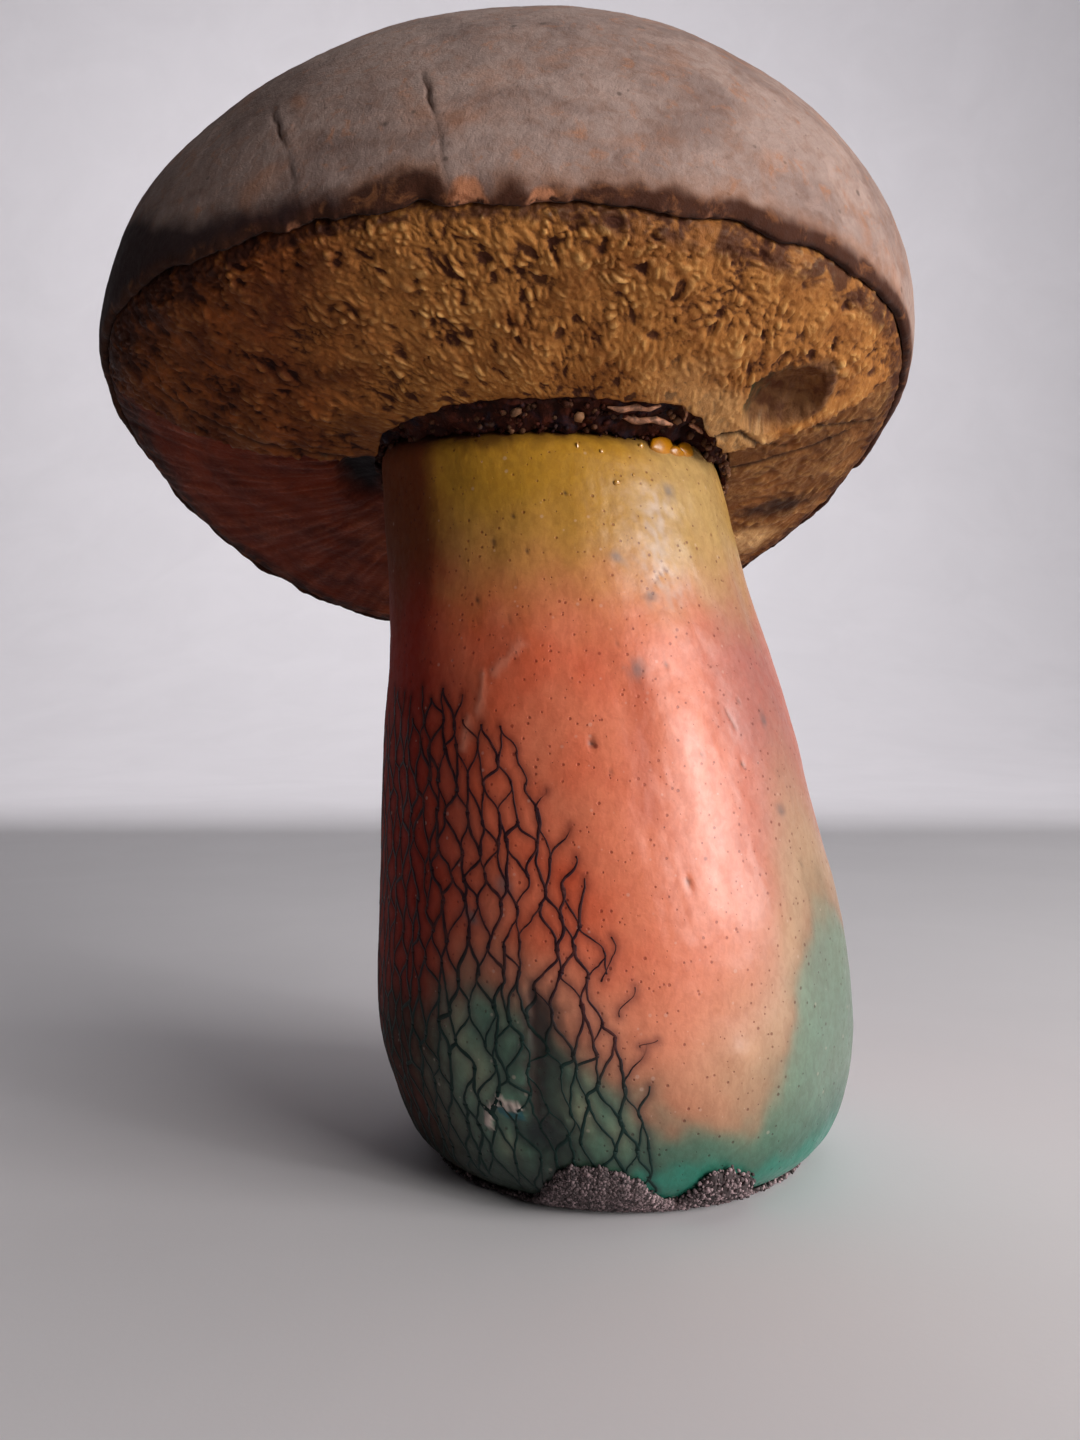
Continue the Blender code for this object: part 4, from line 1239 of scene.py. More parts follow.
def crust_surface(angle, share, out):
    """Point of the crust at a share of its height, out of the stem by out times its thickness there."""
    height = CRUST_BOTTOM + crust_height(angle) * share
    taper = (1.0 - 0.75 * share**3) * (1.0 + 0.18 * np.sin(9 * angle) * share)
    radius = station(height, 1) + 0.3 + out * CRUST_THICKNESS * taper
    return leaned(radius, angle, height)


def crust_points():
    """Closed ring of crust: outside from the top down, then inside from the bottom up."""
    angle = np.linspace(0, TURN, CRUST_COLUMNS, endpoint=False)[None, :]
    share = np.concatenate((np.linspace(1, 0, 9), np.linspace(0, 1, 4)))[:, None]
    out = np.concatenate((np.ones(9), np.zeros(4)))[:, None] + 0 * angle
    points = crust_surface(angle + 0 * share, share + 0 * angle, out)
    bumps = 0.22 * noise(points, 0.8, 171) + 0.14 * noise(points, 0.4, 172)
    radial = points / np.linalg.norm(points[..., :2], axis=-1)[..., None] * np.array((1.0, 1.0, 0.0))
    return points + radial * (bumps * out - 0.18 * out)[..., None]


# Materials --------------------------------------------------------------------------------------


def fill_inputs(tree, node, inputs):
    """Sets the inputs of a node to values, or links them to sockets."""
    for key, value in inputs.items():
        if isinstance(value, bpy.types.NodeSocket):
            tree.links.new(value, node.inputs[key])
        else:
            node.inputs[key].default_value = value


def add_node(tree, kind, inputs=None, **settings):
    """A shader node with its settings, and its inputs set to values or linked to sockets."""
    made = tree.nodes.new(kind)
    for key, value in settings.items():
        setattr(made, key, value)
    fill_inputs(tree, made, inputs or {})
    return made


def math_node(tree, operation, first, second=0.0, clamp=False):
    """Result of a Math node."""
    settings = {"operation": operation, "use_clamp": clamp}
    return add_node(tree, "ShaderNodeMath", {0: first, 1: second}, **settings).outputs[0]


def ranged(tree, value, low, high, to_low=0.0, to_high=1.0):
    """Value from low to high turned smoothly into to_low to to_high."""
    inputs = {"Value": value, "From Min": low, "From Max": high, "To Min": to_low, "To Max": to_high}
    return add_node(tree, "ShaderNodeMapRange", inputs, interpolation_type="SMOOTHSTEP").outputs[0]


def in_millimetres(tree):
    """Object coordinates in mm."""
    place_in = tree.nodes.new("ShaderNodeTexCoord").outputs["Object"]
    inputs = {0: place_in, "Scale": 1000.0}
    return add_node(tree, "ShaderNodeVectorMath", inputs, operation="SCALE").outputs[0]


def new_group(name, inputs, output):
    """An empty node group with named float or vector inputs and one float output."""
    old = bpy.data.node_groups.get(name)
    if old is not None:
        return old, None, None
    tree = bpy.data.node_groups.new(name, "ShaderNodeTree")
    for socket, default in inputs.items():
        kind = "NodeSocketVector" if default is None else "NodeSocketFloat"
        made = tree.interface.new_socket(socket, in_out="INPUT", socket_type=kind)
        if default is not None:
            made.default_value = default
    tree.interface.new_socket(output, in_out="OUTPUT", socket_type="NodeSocketFloat")
    return tree, tree.nodes.new("NodeGroupInput"), tree.nodes.new("NodeGroupOutput")


def clouds_group():
    """Soft clouds: noise of a size in mm, turned into 0 to 1 round a level with a softness."""
    tree, given, result = new_group(
        "clouds", {"Place": None, "Size": 5.0, "Level": 0.5, "Softness": 0.2}, "Share",
    )
    if given is None:
        return tree
    scale = math_node(tree, "DIVIDE", 1.0, given.outputs["Size"])
    inputs = {
        "Vector": given.outputs["Place"], "Scale": scale, "Detail": 4.0, "Roughness": 0.6, "Distortion": 0.6,
    }
    cloud = add_node(tree, "ShaderNodeTexNoise", inputs).outputs[0]
    low = math_node(tree, "SUBTRACT", given.outputs["Level"], given.outputs["Softness"])
    high = math_node(tree, "ADD", given.outputs["Level"], given.outputs["Softness"])
    tree.links.new(ranged(tree, cloud, low, high), result.inputs[0])
    return tree


def specks_group():
    """Small round specks: near the points of a random scatter of a spacing in mm, in a part of its cells."""
    tree, given, result = new_group(
        "specks", {"Place": None, "Spacing": 2.0, "Radius": 0.15, "Part": 0.5}, "Share",
    )
    if given is None:
        return tree
    scale = math_node(tree, "DIVIDE", 1.0, given.outputs["Spacing"])
    scatter = add_node(tree, "ShaderNodeTexVoronoi", {"Vector": given.outputs["Place"], "Scale": scale})
    channels = add_node(tree, "ShaderNodeSeparateColor", {0: scatter.outputs["Color"]})
    size = math_node(tree, "MULTIPLY", given.outputs["Radius"], channels.outputs[1])
    size = math_node(tree, "MULTIPLY", size, scale)
    near = math_node(tree, "DIVIDE", scatter.outputs["Distance"], size)
    speck = ranged(tree, near, 1.0, 0.45)
    chosen = math_node(tree, "LESS_THAN", channels.outputs[0], given.outputs["Part"])
    tree.links.new(math_node(tree, "MULTIPLY", speck, chosen), result.inputs[0])
    return tree


def grain_group():
    """Fine relief: two noises, the second a third as big, for a bump's height."""
    tree, given, result = new_group("grain", {"Place": None, "Size": 0.5, "Mix": 0.5}, "Height")
    if given is None:
        return tree
    heights = []
    for factor in (1.0, 3.1):
        scale = math_node(tree, "DIVIDE", factor, given.outputs["Size"])
        inputs = {"Vector": given.outputs["Place"], "Scale": scale, "Detail": 2.0}
        heights.append(add_node(tree, "ShaderNodeTexNoise", inputs).outputs[0])
    both = add_node(
        tree, "ShaderNodeMix", {0: given.outputs["Mix"], 2: heights[0], 3: heights[1]}, data_type="FLOAT",
    )
    tree.links.new(both.outputs[0], result.inputs[0])
    return tree


def use_group(tree, group, **inputs):
    """Output of a node group placed in a material with its own values."""
    return add_node(tree, "ShaderNodeGroup", inputs, node_tree=group).outputs[0]


class Look:
    """A new material with its node tree and Principled shader, and short ways to add to them. A part is a
    number that the share is multiplied by first."""

    def __init__(self, name):
        old = bpy.data.materials.get(name)
        if old is not None:
            bpy.data.materials.remove(old)
        self.made = bpy.data.materials.new(name)
        self.made.use_nodes = True
        self.tree = self.made.node_tree
        self.shader = self.tree.nodes["Principled BSDF"]
        self.at = in_millimetres(self.tree)

    def clouds(self, size, level, softness, place_in=None):
        """Soft clouds of a size in mm."""
        place_in = self.at if place_in is None else place_in
        return use_group(self.tree, clouds_group(), Place=place_in, Size=size, Level=level, Softness=softness)

    def specks(self, spacing, radius, part):
        """Round specks in a part of the cells of a random scatter."""
        return use_group(self.tree, specks_group(), Place=self.at, Spacing=spacing, Radius=radius, Part=part)

    def grain(self, size, mix):
        """Fine relief of a size in mm."""
        return use_group(self.tree, grain_group(), Place=self.at, Size=size, Mix=mix)

    def kept(self, name):
        """A number kept on the mesh."""
        return add_node(self.tree, "ShaderNodeAttribute", attribute_name=name).outputs["Fac"]

    def times(self, first, second):
        """Product of two values."""
        return math_node(self.tree, "MULTIPLY", first, second)

    def plus(self, first, second, clamp=False):
        """Sum of two values."""
        return math_node(self.tree, "ADD", first, second, clamp)

    def minus(self, first, second):
        """First value less the second."""
        return math_node(self.tree, "SUBTRACT", first, second)

    def larger(self, first, second):
        """The larger of two values."""
        return math_node(self.tree, "MAXIMUM", first, second)

    def ranged(self, value, low, high, to_low=0.0, to_high=1.0):
        """Value from low to high turned smoothly into to_low to to_high."""
        return ranged(self.tree, value, low, high, to_low, to_high)

    def mixed(self, mode, share, first, second, part):
        """First colour at share 0; at share 1 the second, blended in or multiplied by."""
        share = share if part is None else self.times(share, part)
        colours = {6: first, 7: second}
        for index, colour in colours.items():
            if not isinstance(colour, bpy.types.NodeSocket):
                colours[index] = (*colour, 1.0)
        kind = "ShaderNodeMix"
        return add_node(self.tree, kind, {0: share, **colours}, data_type="RGBA", blend_type=mode).outputs[2]

    def blend(self, share, first, second, part=None):
        """First colour at share 0, second at share 1."""
        return self.mixed("MIX", share, first, second, part)

    def tint(self, share, colour, factor, part=None):
        """The colour multiplied by the factor, by its share."""
        return self.mixed("MULTIPLY", share, colour, factor, part)

    def put(self, name, value):
        """Sets or links an input of the shader."""
        fill_inputs(self.tree, self.shader, {name: value})

    def bump(self, height, distance):
        """Bump of a height in mm before the shader."""
        inputs = {"Height": height, "Distance": distance * MM, "Strength": 1.0}
        self.put("Normal", add_node(self.tree, "ShaderNodeBump", inputs).outputs[0])


def scaled(colour, factor):
    """A colour, lighter or darker by a factor."""
    return [x * factor for x in colour]


def skin_material(cap):
    """Dry felted skin: soft clouds, rusty blotches, dark specks, a rusty margin band and painted shade on the
    left.
    """
    look = Look("cap_skin")
    above = look.kept("above")
    colour = look.blend(look.clouds(11.0, 0.52, 0.16), cap.skin, cap.skin_dark)
    fine = look.clouds(1.1, 0.5, 0.25)
    colour = look.blend(fine, colour, cap.skin_dark, 0.28)
    mottle = look.clouds(1.9, 0.54, 0.12)
    colour = look.tint(mottle, colour, (0.80, 0.66, 0.58), 0.58)
    pale = look.clouds(3.2, 0.60, 0.10)
    colour = look.blend(pale, colour, scaled(cap.skin, 1.35), 0.30)
    blotch = look.clouds(8.0, 0.64, 0.13)
    small = look.clouds(2.2, 0.65, 0.10)
    rust = look.larger(look.times(blotch, 0.36), look.times(small, 0.46))
    colour = look.blend(rust, colour, cap.rust)
    scatters = ((3.2, 0.55, 0.45, 0.60), (1.5, 0.28, 0.40, 0.40), (6.5, 1.2, 0.30, 0.45))
    for spacing, radius, part, most in scatters:
        dark = look.specks(spacing, radius, part)
        colour = look.blend(dark, colour, scaled(cap.skin_dark, 0.35), most)
    over = look.minus(look.kept("stain"), above)
    halo = look.ranged(over, -2.4, 0.4, 0.0, 0.50)
    colour = look.blend(halo, colour, scaled(cap.rust, 0.55))
    # Painted shade: near-black purple over the cap's low left side, standing for the shade it lies in.
    shade = look.minus(look.kept("shade"), above)
    colour = look.blend(look.ranged(shade, -2.2, 1.6, 0.0, 0.96), colour, (0.020, 0.0045, 0.005))
    flaky = look.clouds(2.6, 0.60, 0.07)
    stain = look.blend(flaky, cap.edge, scaled(cap.rust, 0.55), 0.55)
    colour = look.blend(look.ranged(over, -0.9, 0.7), colour, stain)
    flake = look.minus(look.kept("flake"), above)
    torn = look.blend(flaky, (0.360, 0.145, 0.072), (0.140, 0.040, 0.014), 0.8)
    colour = look.blend(look.ranged(flake, -0.6, 0.6), colour, torn)
    edge = look.times(look.ranged(above, 0.32, 0.05), look.ranged(mottle, 0.2, 0.8, 0.25, 1.0))
    colour = look.blend(edge, colour, (0.030, 0.010, 0.005))
    colour = look.blend(look.kept("split"), colour, cap.edge)
    look.put("Base Color", colour)
    look.put("Roughness", look.ranged(fine, 0.0, 1.0, 0.72, 0.92))
    look.put("Specular IOR Level", 0.12)
    look.put("Sheen Weight", 0.03)
    look.put("Sheen Roughness", 0.6)
    look.bump(look.grain(0.55, 0.4), 0.14)
    return look.made


def pore_material(pores):
    """Pore surface: tan tops, brown flanks and dark pits by the kept height, darker and smoother behind the
    step, stained at the rim and in the pit, with painted shade on the left side, near the stem and in the
    hollow by it, and partly behind the step and in the band at the rim."""
    look = Look("pore_surface")
    height = look.kept("height")
    fine = look.grain(0.36, 0.35)
    rough = look.times(look.minus(fine, 0.5), 0.55)
    level = look.plus(height, rough)
    colour = look.blend(look.ranged(level, 0.05, 0.42), pores.pit, pores.middle)
    colour = look.blend(look.ranged(level, 0.42, 1.0), colour, pores.ridge)
    stain = look.clouds(5.0, 0.54, 0.12)
    # The stain clouds are stronger on the left, part of the painted shade there.
    gaps = look.plus(look.times(look.kept("left"), 0.25), 0.62)
    colour = look.tint(stain, colour, (0.46, 0.33, 0.24), gaps)
    orange = look.clouds(4.2, 0.57, 0.09)
    orange = look.times(orange, look.plus(look.times(look.kept("left"), 0.62), 0.08))
    colour = look.blend(orange, colour, (0.640, 0.250, 0.060))
    # Behind the step a darker brown, partly a painted shade for the half lying under the cap.
    back = look.clouds(5.0, 0.5, 0.22)
    behind = look.blend(back, pores.back, scaled(pores.back, 0.45))
    behind = look.blend(look.ranged(level, 0.40, 0.90, 0.0, 0.40), behind, pores.ridge)
    # Behind the step the left side turns redder, part of the painted shade there.
    behind = look.tint(look.ranged(look.kept("left"), 0.0, 0.3), behind, (1.95, 0.80, 0.42))
    colour = look.blend(look.kept("behind"), colour, behind, 0.88)
    # Painted shade: darker near the stem, more on the left, none on the lit right.
    leftwards = look.plus(look.times(look.kept("left"), 1.35), 0.14, clamp=True)
    near_hole = look.ranged(look.kept("from_hole"), 0.80, 0.02)
    near_hole = look.times(near_hole, leftwards)
    colour = look.tint(near_hole, colour, (0.50, 0.39, 0.32))
    colour = look.blend(look.kept("tan"), colour, (0.600, 0.360, 0.150), 0.45)
    # Dark rim band: rusty stain, and painted shade under the skin's overhanging edge.
    rusty = look.clouds(2.4, 0.56, 0.12)
    rim = look.ranged(look.kept("rim"), 0.62, 0.20, 0.0, 0.90)
    rim = look.times(rim, look.ranged(rusty, 0.0, 1.0, 1.0, 0.55))
    colour = look.blend(rim, colour, look.blend(rusty, (0.050, 0.014, 0.006), (0.230, 0.085, 0.020)))
    soft = look.clouds(1.6, 0.5, 0.2)
    colour = look.blend(
        look.kept("pit"), colour, look.blend(soft, (0.080, 0.026, 0.009), (0.190, 0.085, 0.030)),
    )
    colour = look.blend(look.kept("mossy"), colour, (0.030, 0.034, 0.012))
    # Painted shade: the left side darker and redder, standing for the shade it lies in.
    colour = look.tint(look.kept("left"), colour, (0.44, 0.29, 0.23))
    # Near-black in the cracks, the dark patch and the hollow by the stem; in the hollow it is painted shade.
    colour = look.blend(look.kept("dark"), colour, (0.008, 0.004, 0.005))
    look.put("Base Color", colour)
    look.put("Roughness", look.ranged(level, 0.2, 0.9, 0.80, 0.45))
    look.put("Specular IOR Level", 0.18)
    look.bump(fine, 0.16)
    return look.made


def stem_colour(look, stem):
    """Colour of the airbrushed stem, from the shares kept on its mesh, broken up by clouds."""
    wide = look.clouds(9.0, 0.5, 0.22)
    fine = look.clouds(1.3, 0.52, 0.22)
    red = look.times(look.kept("coral"), look.plus(0.55, look.times(wide, 0.45)))
    colour = look.blend(red, stem.salmon, stem.coral)
    # Painted light: the right side's paler salmon, ochre and green stand for the window light.
    painted_window_light = look.kept("painted_window_light")
    colour = look.blend(painted_window_light, colour, (0.310, 0.138, 0.130), 0.80)
    colour = look.blend(fine, colour, scaled(stem.coral, 0.72), 0.22)
    ochre = look.blend(look.kept("olive"), stem.ochre, stem.olive)
    ochre = look.blend(painted_window_light, ochre, (0.440, 0.300, 0.130), 0.70)
    ochre = look.tint(fine, ochre, (0.62, 0.60, 0.50), 0.45)
    colour = look.blend(look.kept("ochre"), colour, ochre)
    colour = look.blend(look.kept("cream"), colour, stem.cream)
    green = look.blend(wide, stem.green, stem.deep_green, 0.7)
    green = look.blend(look.kept("foot"), green, (0.012, 0.115, 0.078), 0.72)
    green = look.blend(fine, green, stem.deep_green, 0.35)
    pale = look.times(look.kept("cream"), look.minus(0.32, look.times(look.kept("foot"), 0.30)))
    green = look.blend(pale, green, stem.cream)
    high = look.minus(0.42, look.times(look.kept("foot"), 0.38))
    green = look.blend(painted_window_light, green, (0.250, 0.285, 0.225), high)
    green = look.blend(look.ranged(look.kept("green"), 0.95, 0.35, 0.0, 0.75), green, (0.200, 0.115, 0.058))
    green = look.blend(look.kept("pale"), green, (0.270, 0.330, 0.200), 0.75)
    green = look.blend(look.kept("bright"), green, (0.012, 0.110, 0.075), 0.8)
    colour = look.blend(look.kept("green"), colour, green, 0.94)
    base = look.times(look.kept("base"), 0.75)
    colour = look.blend(base, colour, (0.014, 0.200, 0.140))
    # The dark left side: maroon paint and painted shade under the net, painted shade in umber on the ochre
    # above it.
    side = look.blend(look.kept("ochre"), stem.maroon_and_shade, stem.umber_painted_shade)
    side = look.blend(look.kept("green"), side, (0.040, 0.010, 0.006), 0.8)
    colour = look.blend(look.kept("maroon_and_shade"), colour, side, 0.90)
    colour = look.blend(look.kept("neck"), colour, (0.048, 0.012, 0.004), 0.95)
    colour = look.tint(look.kept("ink_near"), colour, (0.48, 0.42, 0.46))
    return colour, fine


def stem_material(stem):
    """Airbrushed paint under varnish, with pinholes, specks, dents and scars."""
    look = Look("stem_paint")
    colour, fine = stem_colour(look, stem)
    inputs = {0: look.at, 1: (1.0, 1.0, 0.55)}
    squat = add_node(look.tree, "ShaderNodeVectorMath", inputs, operation="MULTIPLY").outputs[0]
    sandy = look.clouds(0.75, 0.52, 0.12, squat)
    colour = look.tint(sandy, colour, (0.72, 0.62, 0.58), 0.35)
    paler = look.specks(1.25, 0.30, 0.40)
    colour = look.blend(paler, colour, (0.640, 0.480, 0.400), 0.22)
    pinholes = look.specks(0.75, 0.24, 0.70)
    freckles = look.specks(2.3, 0.36, 0.50)
    both = look.larger(look.times(pinholes, 0.70), look.times(freckles, 0.75))
    colour = look.tint(both, colour, (0.42, 0.20, 0.18))
    stains = (
        ("streak", 0.55, (0.420, 0.075, 0.032)), ("scars", 0.72, (0.68, 0.23, 0.14)),
        ("lilac_patch", 0.55, (0.46, 0.37, 0.33)), ("bruises", 0.70, (0.115, 0.095, 0.095)),
        ("dents", 0.9, (0.040, 0.018, 0.014)), ("scratches", 0.7, (0.120, 0.030, 0.016)),
        # Darkest marks, low on the left a painted shadow.
        ("shade", 0.82, (0.009, 0.014, 0.010)),
        ("crack", 0.70, (0.034, 0.010, 0.007)), ("hollow", 0.96, (0.003, 0.008, 0.009)),
        ("chip", 0.95, (0.440, 0.350, 0.310)),
        ("teal", 0.95, (0.006, 0.090, 0.105)),
    )
    for name, most, stain in stains:
        colour = look.blend(look.kept(name), colour, stain, most)
    look.put("Base Color", colour)
    side = look.times(look.kept("maroon_and_shade"), 0.35)
    look.put("Roughness", look.plus(look.ranged(fine, 0.0, 1.0, 0.42, 0.56), side))
    look.put("Specular IOR Level", 0.26)
    look.put("Coat Weight", look.ranged(look.kept("maroon_and_shade"), 0.9, 0.0, 0.02, 0.42))
    look.put("Coat Roughness", 0.26)
    height = look.minus(look.grain(0.9, 0.3), look.times(pinholes, 0.7))
    look.bump(height, 0.07)
    return look.made


def ink_material(net):
    """Thin dark paint, a little greener towards the foot."""
    look = Look("net_ink")
    worn = look.clouds(2.0, 0.58, 0.14)
    colour = look.blend(worn, net.ink, (0.130, 0.036, 0.028), 0.5)
    colour = look.blend(look.kept("green"), colour, (0.008, 0.024, 0.020))
    look.put("Base Color", colour)
    look.put("Roughness", look.ranged(worn, 0.0, 1.0, 0.50, 0.70))
    look.put("Specular IOR Level", 0.16)
    look.put("Coat Weight", 0.02)
    look.put("Coat Roughness", 0.3)
    look.bump(look.grain(0.5, 0.4), 0.03)
    return look.made


def filler_material(seam):
    """Dark purple-brown filler, darker in its hollows as a painted shade, and wet-looking in the hollows."""
    look = Look("torn_filler")
    fine = look.grain(0.5, 0.4)
    rust = look.clouds(1.5, 0.56, 0.1)
    # Painted shade: the filler darker in the hollows of its crumbled relief; on the crumbs the number is a
    # random tone.
    colour = look.blend(look.ranged(look.kept("height"), 0.2, 0.9), scaled(seam.filler, 0.3), seam.filler)
    colour = look.blend(rust, colour, (0.100, 0.022, 0.010), 0.4)
    bluish = look.clouds(2.6, 0.60, 0.08)
    colour = look.blend(bluish, colour, (0.010, 0.012, 0.022), 0.7)
    colour = look.blend(look.kept("bead"), colour, seam.bead)
    look.put("Base Color", colour)
    look.put("Roughness", look.ranged(fine, 0.3, 0.7, 0.34, 0.8))
    look.put("Specular IOR Level", 0.09)
    look.bump(fine, 0.2)
    return look.made


def plain_material(name, colour, dark, roughness, size, depth, coat=0.0):
    """Clouds of two colours with a fine relief, for the small pieces of the seam."""
    look = Look(name)
    share = look.clouds(size, 0.5, 0.2)
    look.put("Base Color", look.blend(share, colour, dark))
    look.put("Roughness", look.ranged(share, 0.0, 1.0, roughness, min(1.0, roughness * 1.4)))
    look.put("Coat Weight", coat)
    look.put("Coat Roughness", 0.08)
    look.bump(look.grain(size * 0.4, 0.4), depth)
    return look.made


def grit_material(grit):
    """Grains of sand, each with its own tone, kept with a painted shade on the left side, and a darker bed
    between them.
    """
    look = Look("grit")
    fine = look.grain(0.22, 0.4)
    shade = look.plus(look.kept("shade"), look.times(look.minus(fine, 0.5), 0.5))
    colour = look.blend(look.ranged(shade, 0.0, 1.0), grit.dark, grit.light)
    lilac = look.clouds(1.5, 0.5, 0.2)
    colour = look.blend(lilac, colour, (0.14, 0.095, 0.095), 0.30)
    look.put("Base Color", colour)
    look.put("Roughness", look.ranged(fine, 0.2, 0.8, 0.55, 0.85))
    look.bump(fine, 0.05)
    return look.made


def floor_material(stage):
    """Pale matt floor with hardly visible clouds."""
    look = Look("pale_floor")
    share = look.clouds(90.0, 0.5, 0.3)
    look.put("Base Color", look.blend(share, stage.floor, scaled(stage.floor, 0.95)))
    look.put("Roughness", 0.8)
    look.bump(look.grain(2.0, 0.5), 0.02)
    return look.made


# Operators --------------------------------------------------------------------------------------


def must(condition, message):
    """Stops with an error, because a cancelled operator wouldn't stop the script."""
    if not condition:
        raise RuntimeError(message)


class BOLETE_OT_cap(Operator):
    """Make the skin of the cap"""

    bl_idname = "bolete.cap"
    bl_label = "Cap skin"

    def execute(self, context):
        cap = context.scene.bolete.cap
        clear_piece("cap_skin_shell")
        points, above, split = cap_skin_points(cap)
        must(np.isfinite(points).all(), "the cap's skin has points that aren't numbers")
        top = points[0].mean(0)
        top = top + (top - points[6].mean(0)) * 0.02
        made = round_grid_object("cap_skin_shell", points, top=top, bottom=points[-1].mean(0))
        angle = front_dense_angles(SKIN_COLUMNS)[None, :] + 0 * above
        spot = on_cylinder(CAP_FIELD, angle, above)
        stain = round_table(angle, STAIN_HEIGHT) + 0.7 * noise(spot, 2.4, 31) + 0.4 * noise(spot, 1.0, 32)
        flake = round_table(angle, FLAKE_HEIGHT) + 0.7 * noise(spot, 2.0, 33) + 0.5 * noise(spot, 0.8, 34)
        # How high the painted shade reaches above the margin, round the cap.
        shade = round_table(angle, PAINTED_SHADE_HEIGHT) + 1.2 * noise(spot, 4.0, 35) + 0.5 * noise(spot, 1.5, 36)
        masks = {
            "above": above, "split": np.clip(split * 0.9, 0, 1), "stain": stain, "flake": flake,
            "shade": shade,
        }
        place(made, skin_material(cap), "cap_skin", "cap", **masks)
        return {"FINISHED"}


class BOLETE_OT_pores(Operator):
    """Make the pore layer under the cap"""

    bl_idname = "bolete.pores"
    bl_label = "Pore layer"

    def execute(self, context):
        pores = context.scene.bolete.pores
        clear_piece("pore_surface_layer")
        points, masks = pore_points(pores)
        must(np.isfinite(points).all(), "the pore layer has points that aren't numbers")
        made = round_grid_object("pore_surface_layer", points, ring=True)
        place(made, pore_material(pores), "pore_surface", "pore_layer", **masks)
        return {"FINISHED"}


class BOLETE_OT_stem(Operator):
    """Make the painted stem"""

    bl_idname = "bolete.stem"
    bl_label = "Stem"

    def execute(self, context):
        stem = context.scene.bolete.stem
        clear_piece("painted_stem")
        points, masks = stem_points(stem)
        must(np.isfinite(points).all(), "the stem has points that aren't numbers")
        made = round_grid_object("painted_stem", points, top=points[0].mean(0), bottom=(0.0, 0.0, 0.0))
        place(made, stem_material(stem), "stem_paint", "stem", **masks)
        return {"FINISHED"}


class BOLETE_OT_net(Operator):
    """Make the painted net of the stem"""

    bl_idname = "bolete.net"
    bl_label = "Painted net"

    def execute(self, context):
        settings = context.scene.bolete
        clear_piece("painted_net")
        points = net_points(settings.stem, settings.net)
        lines, steps, around = points.shape[:3]
        must(lines > 50, "the net has hardly any lines")
        made = mesh_object("painted_net", points.reshape(-1, 3), band_faces(lines, steps, around))
        x, y, z = points.reshape(-1, 3).T
        green = paint_masks(np.arctan2(y, x - stem_shift(z)), z)["green"]
        place(made, ink_material(settings.net), "stem_paint", green=green)
        stem = bpy.data.objects.get("painted_stem")
        must(stem is not None, "the net needs the stem")
        spots = np.empty(len(stem.data.vertices) * 3, np.float32)
        stem.data.vertices.foreach_get("co", spots)
        store(stem, "ink_near", near_lines(spots.reshape(-1, 3) / MM, points))
        return {"FINISHED"}


class BOLETE_OT_seam(Operator):
    """Make the torn filler, flakes, beads and paint drops of the seam"""

    bl_idname = "bolete.seam"
    bl_label = "Seam"

    def execute(self, context):
        seam = context.scene.bolete.seam
        for name in ("seam_crumble", "seam_rubble", "yellow_paint_drop", "varnish_drops"):
            clear_piece(name)
        points, height = filler_points(seam)
        made = round_grid_object("seam_crumble", points, ring=True)
        look = filler_material(seam)
        place(made, look, "torn_filler", "seam_filler", height=height)

        random = np.random.default_rng(5)
        count = seam.rubble
        row, column = random.integers(*CRUMB_ROWS, count), random.integers(0, points.shape[1], count)
        front = np.degrees(np.linspace(0.0, TURN, points.shape[1], endpoint=False))[column]
        wanted = random.uniform(0, 1, count) < np.clip(1.25 - np.abs(front - CRUMB_MIDDLE) / 95.0, 0.05, 1)
        centres = points[row, column][wanted] + random.uniform(-0.3, 0.3, (wanted.sum(), 3))
        size = random.uniform(0.16, 0.5, (len(centres), 1)) * random.uniform(0.7, 1.3, (len(centres), 3))
        beads = [pushed_back([bead[0]], points, 0.1)[0] for bead in BEADS]
        centres = np.concatenate((centres, beads))
        size = np.concatenate((size, [bead[1] for bead in BEADS]))
        crumbs = lump_points(centres, size, 6, 0.18)
        made = lumps_object("seam_rubble", crumbs)
        pale = random.beta(0.35, 4.5, len(centres))
        pale = np.where(centres[:, 0] > 4.0, pale + random.uniform(0, 0.7, len(centres)), pale)
        pale[-len(BEADS) :] = (0.55, 0.95, 0.25, 0.15, 0.35, 0.45)
        height = np.repeat(random.uniform(0.2, 1.0, len(centres)), 12)
        place(made, look, "torn_filler", height=height, bead=np.repeat(np.minimum(pale, 1), 12))

        flake_look = plain_material("torn_flake", seam.flake, scaled(seam.flake, 0.22), 0.6, 0.8, 0.05)
        for number, flake in enumerate(FLAKES):
            clear_piece(f"torn_flake_{number}")
            strip = flake_points((pushed_back(flake[0], points), *flake[1:]))
            made = round_grid_object(
                f"torn_flake_{number}", strip, top=strip[0].mean(0), bottom=strip[-1].mean(0),
            )
            place(made, flake_look, "torn_filler")

        yellow = plain_material("yellow_paint", seam.yellow, scaled(seam.yellow, 0.7), 0.30, 1.4, 0.03, 0.22)
        place(drops_object("yellow_paint_drop", YELLOW_DROPS), yellow, "stem_paint")
        stem = context.scene.bolete.stem
        varnish = plain_material("varnish", stem.ochre, stem.olive, 0.2, 0.8, 0.02, 1.0)
        place(drops_object("varnish_drops", VARNISH_DROPS), varnish, "stem_paint")
        return {"FINISHED"}


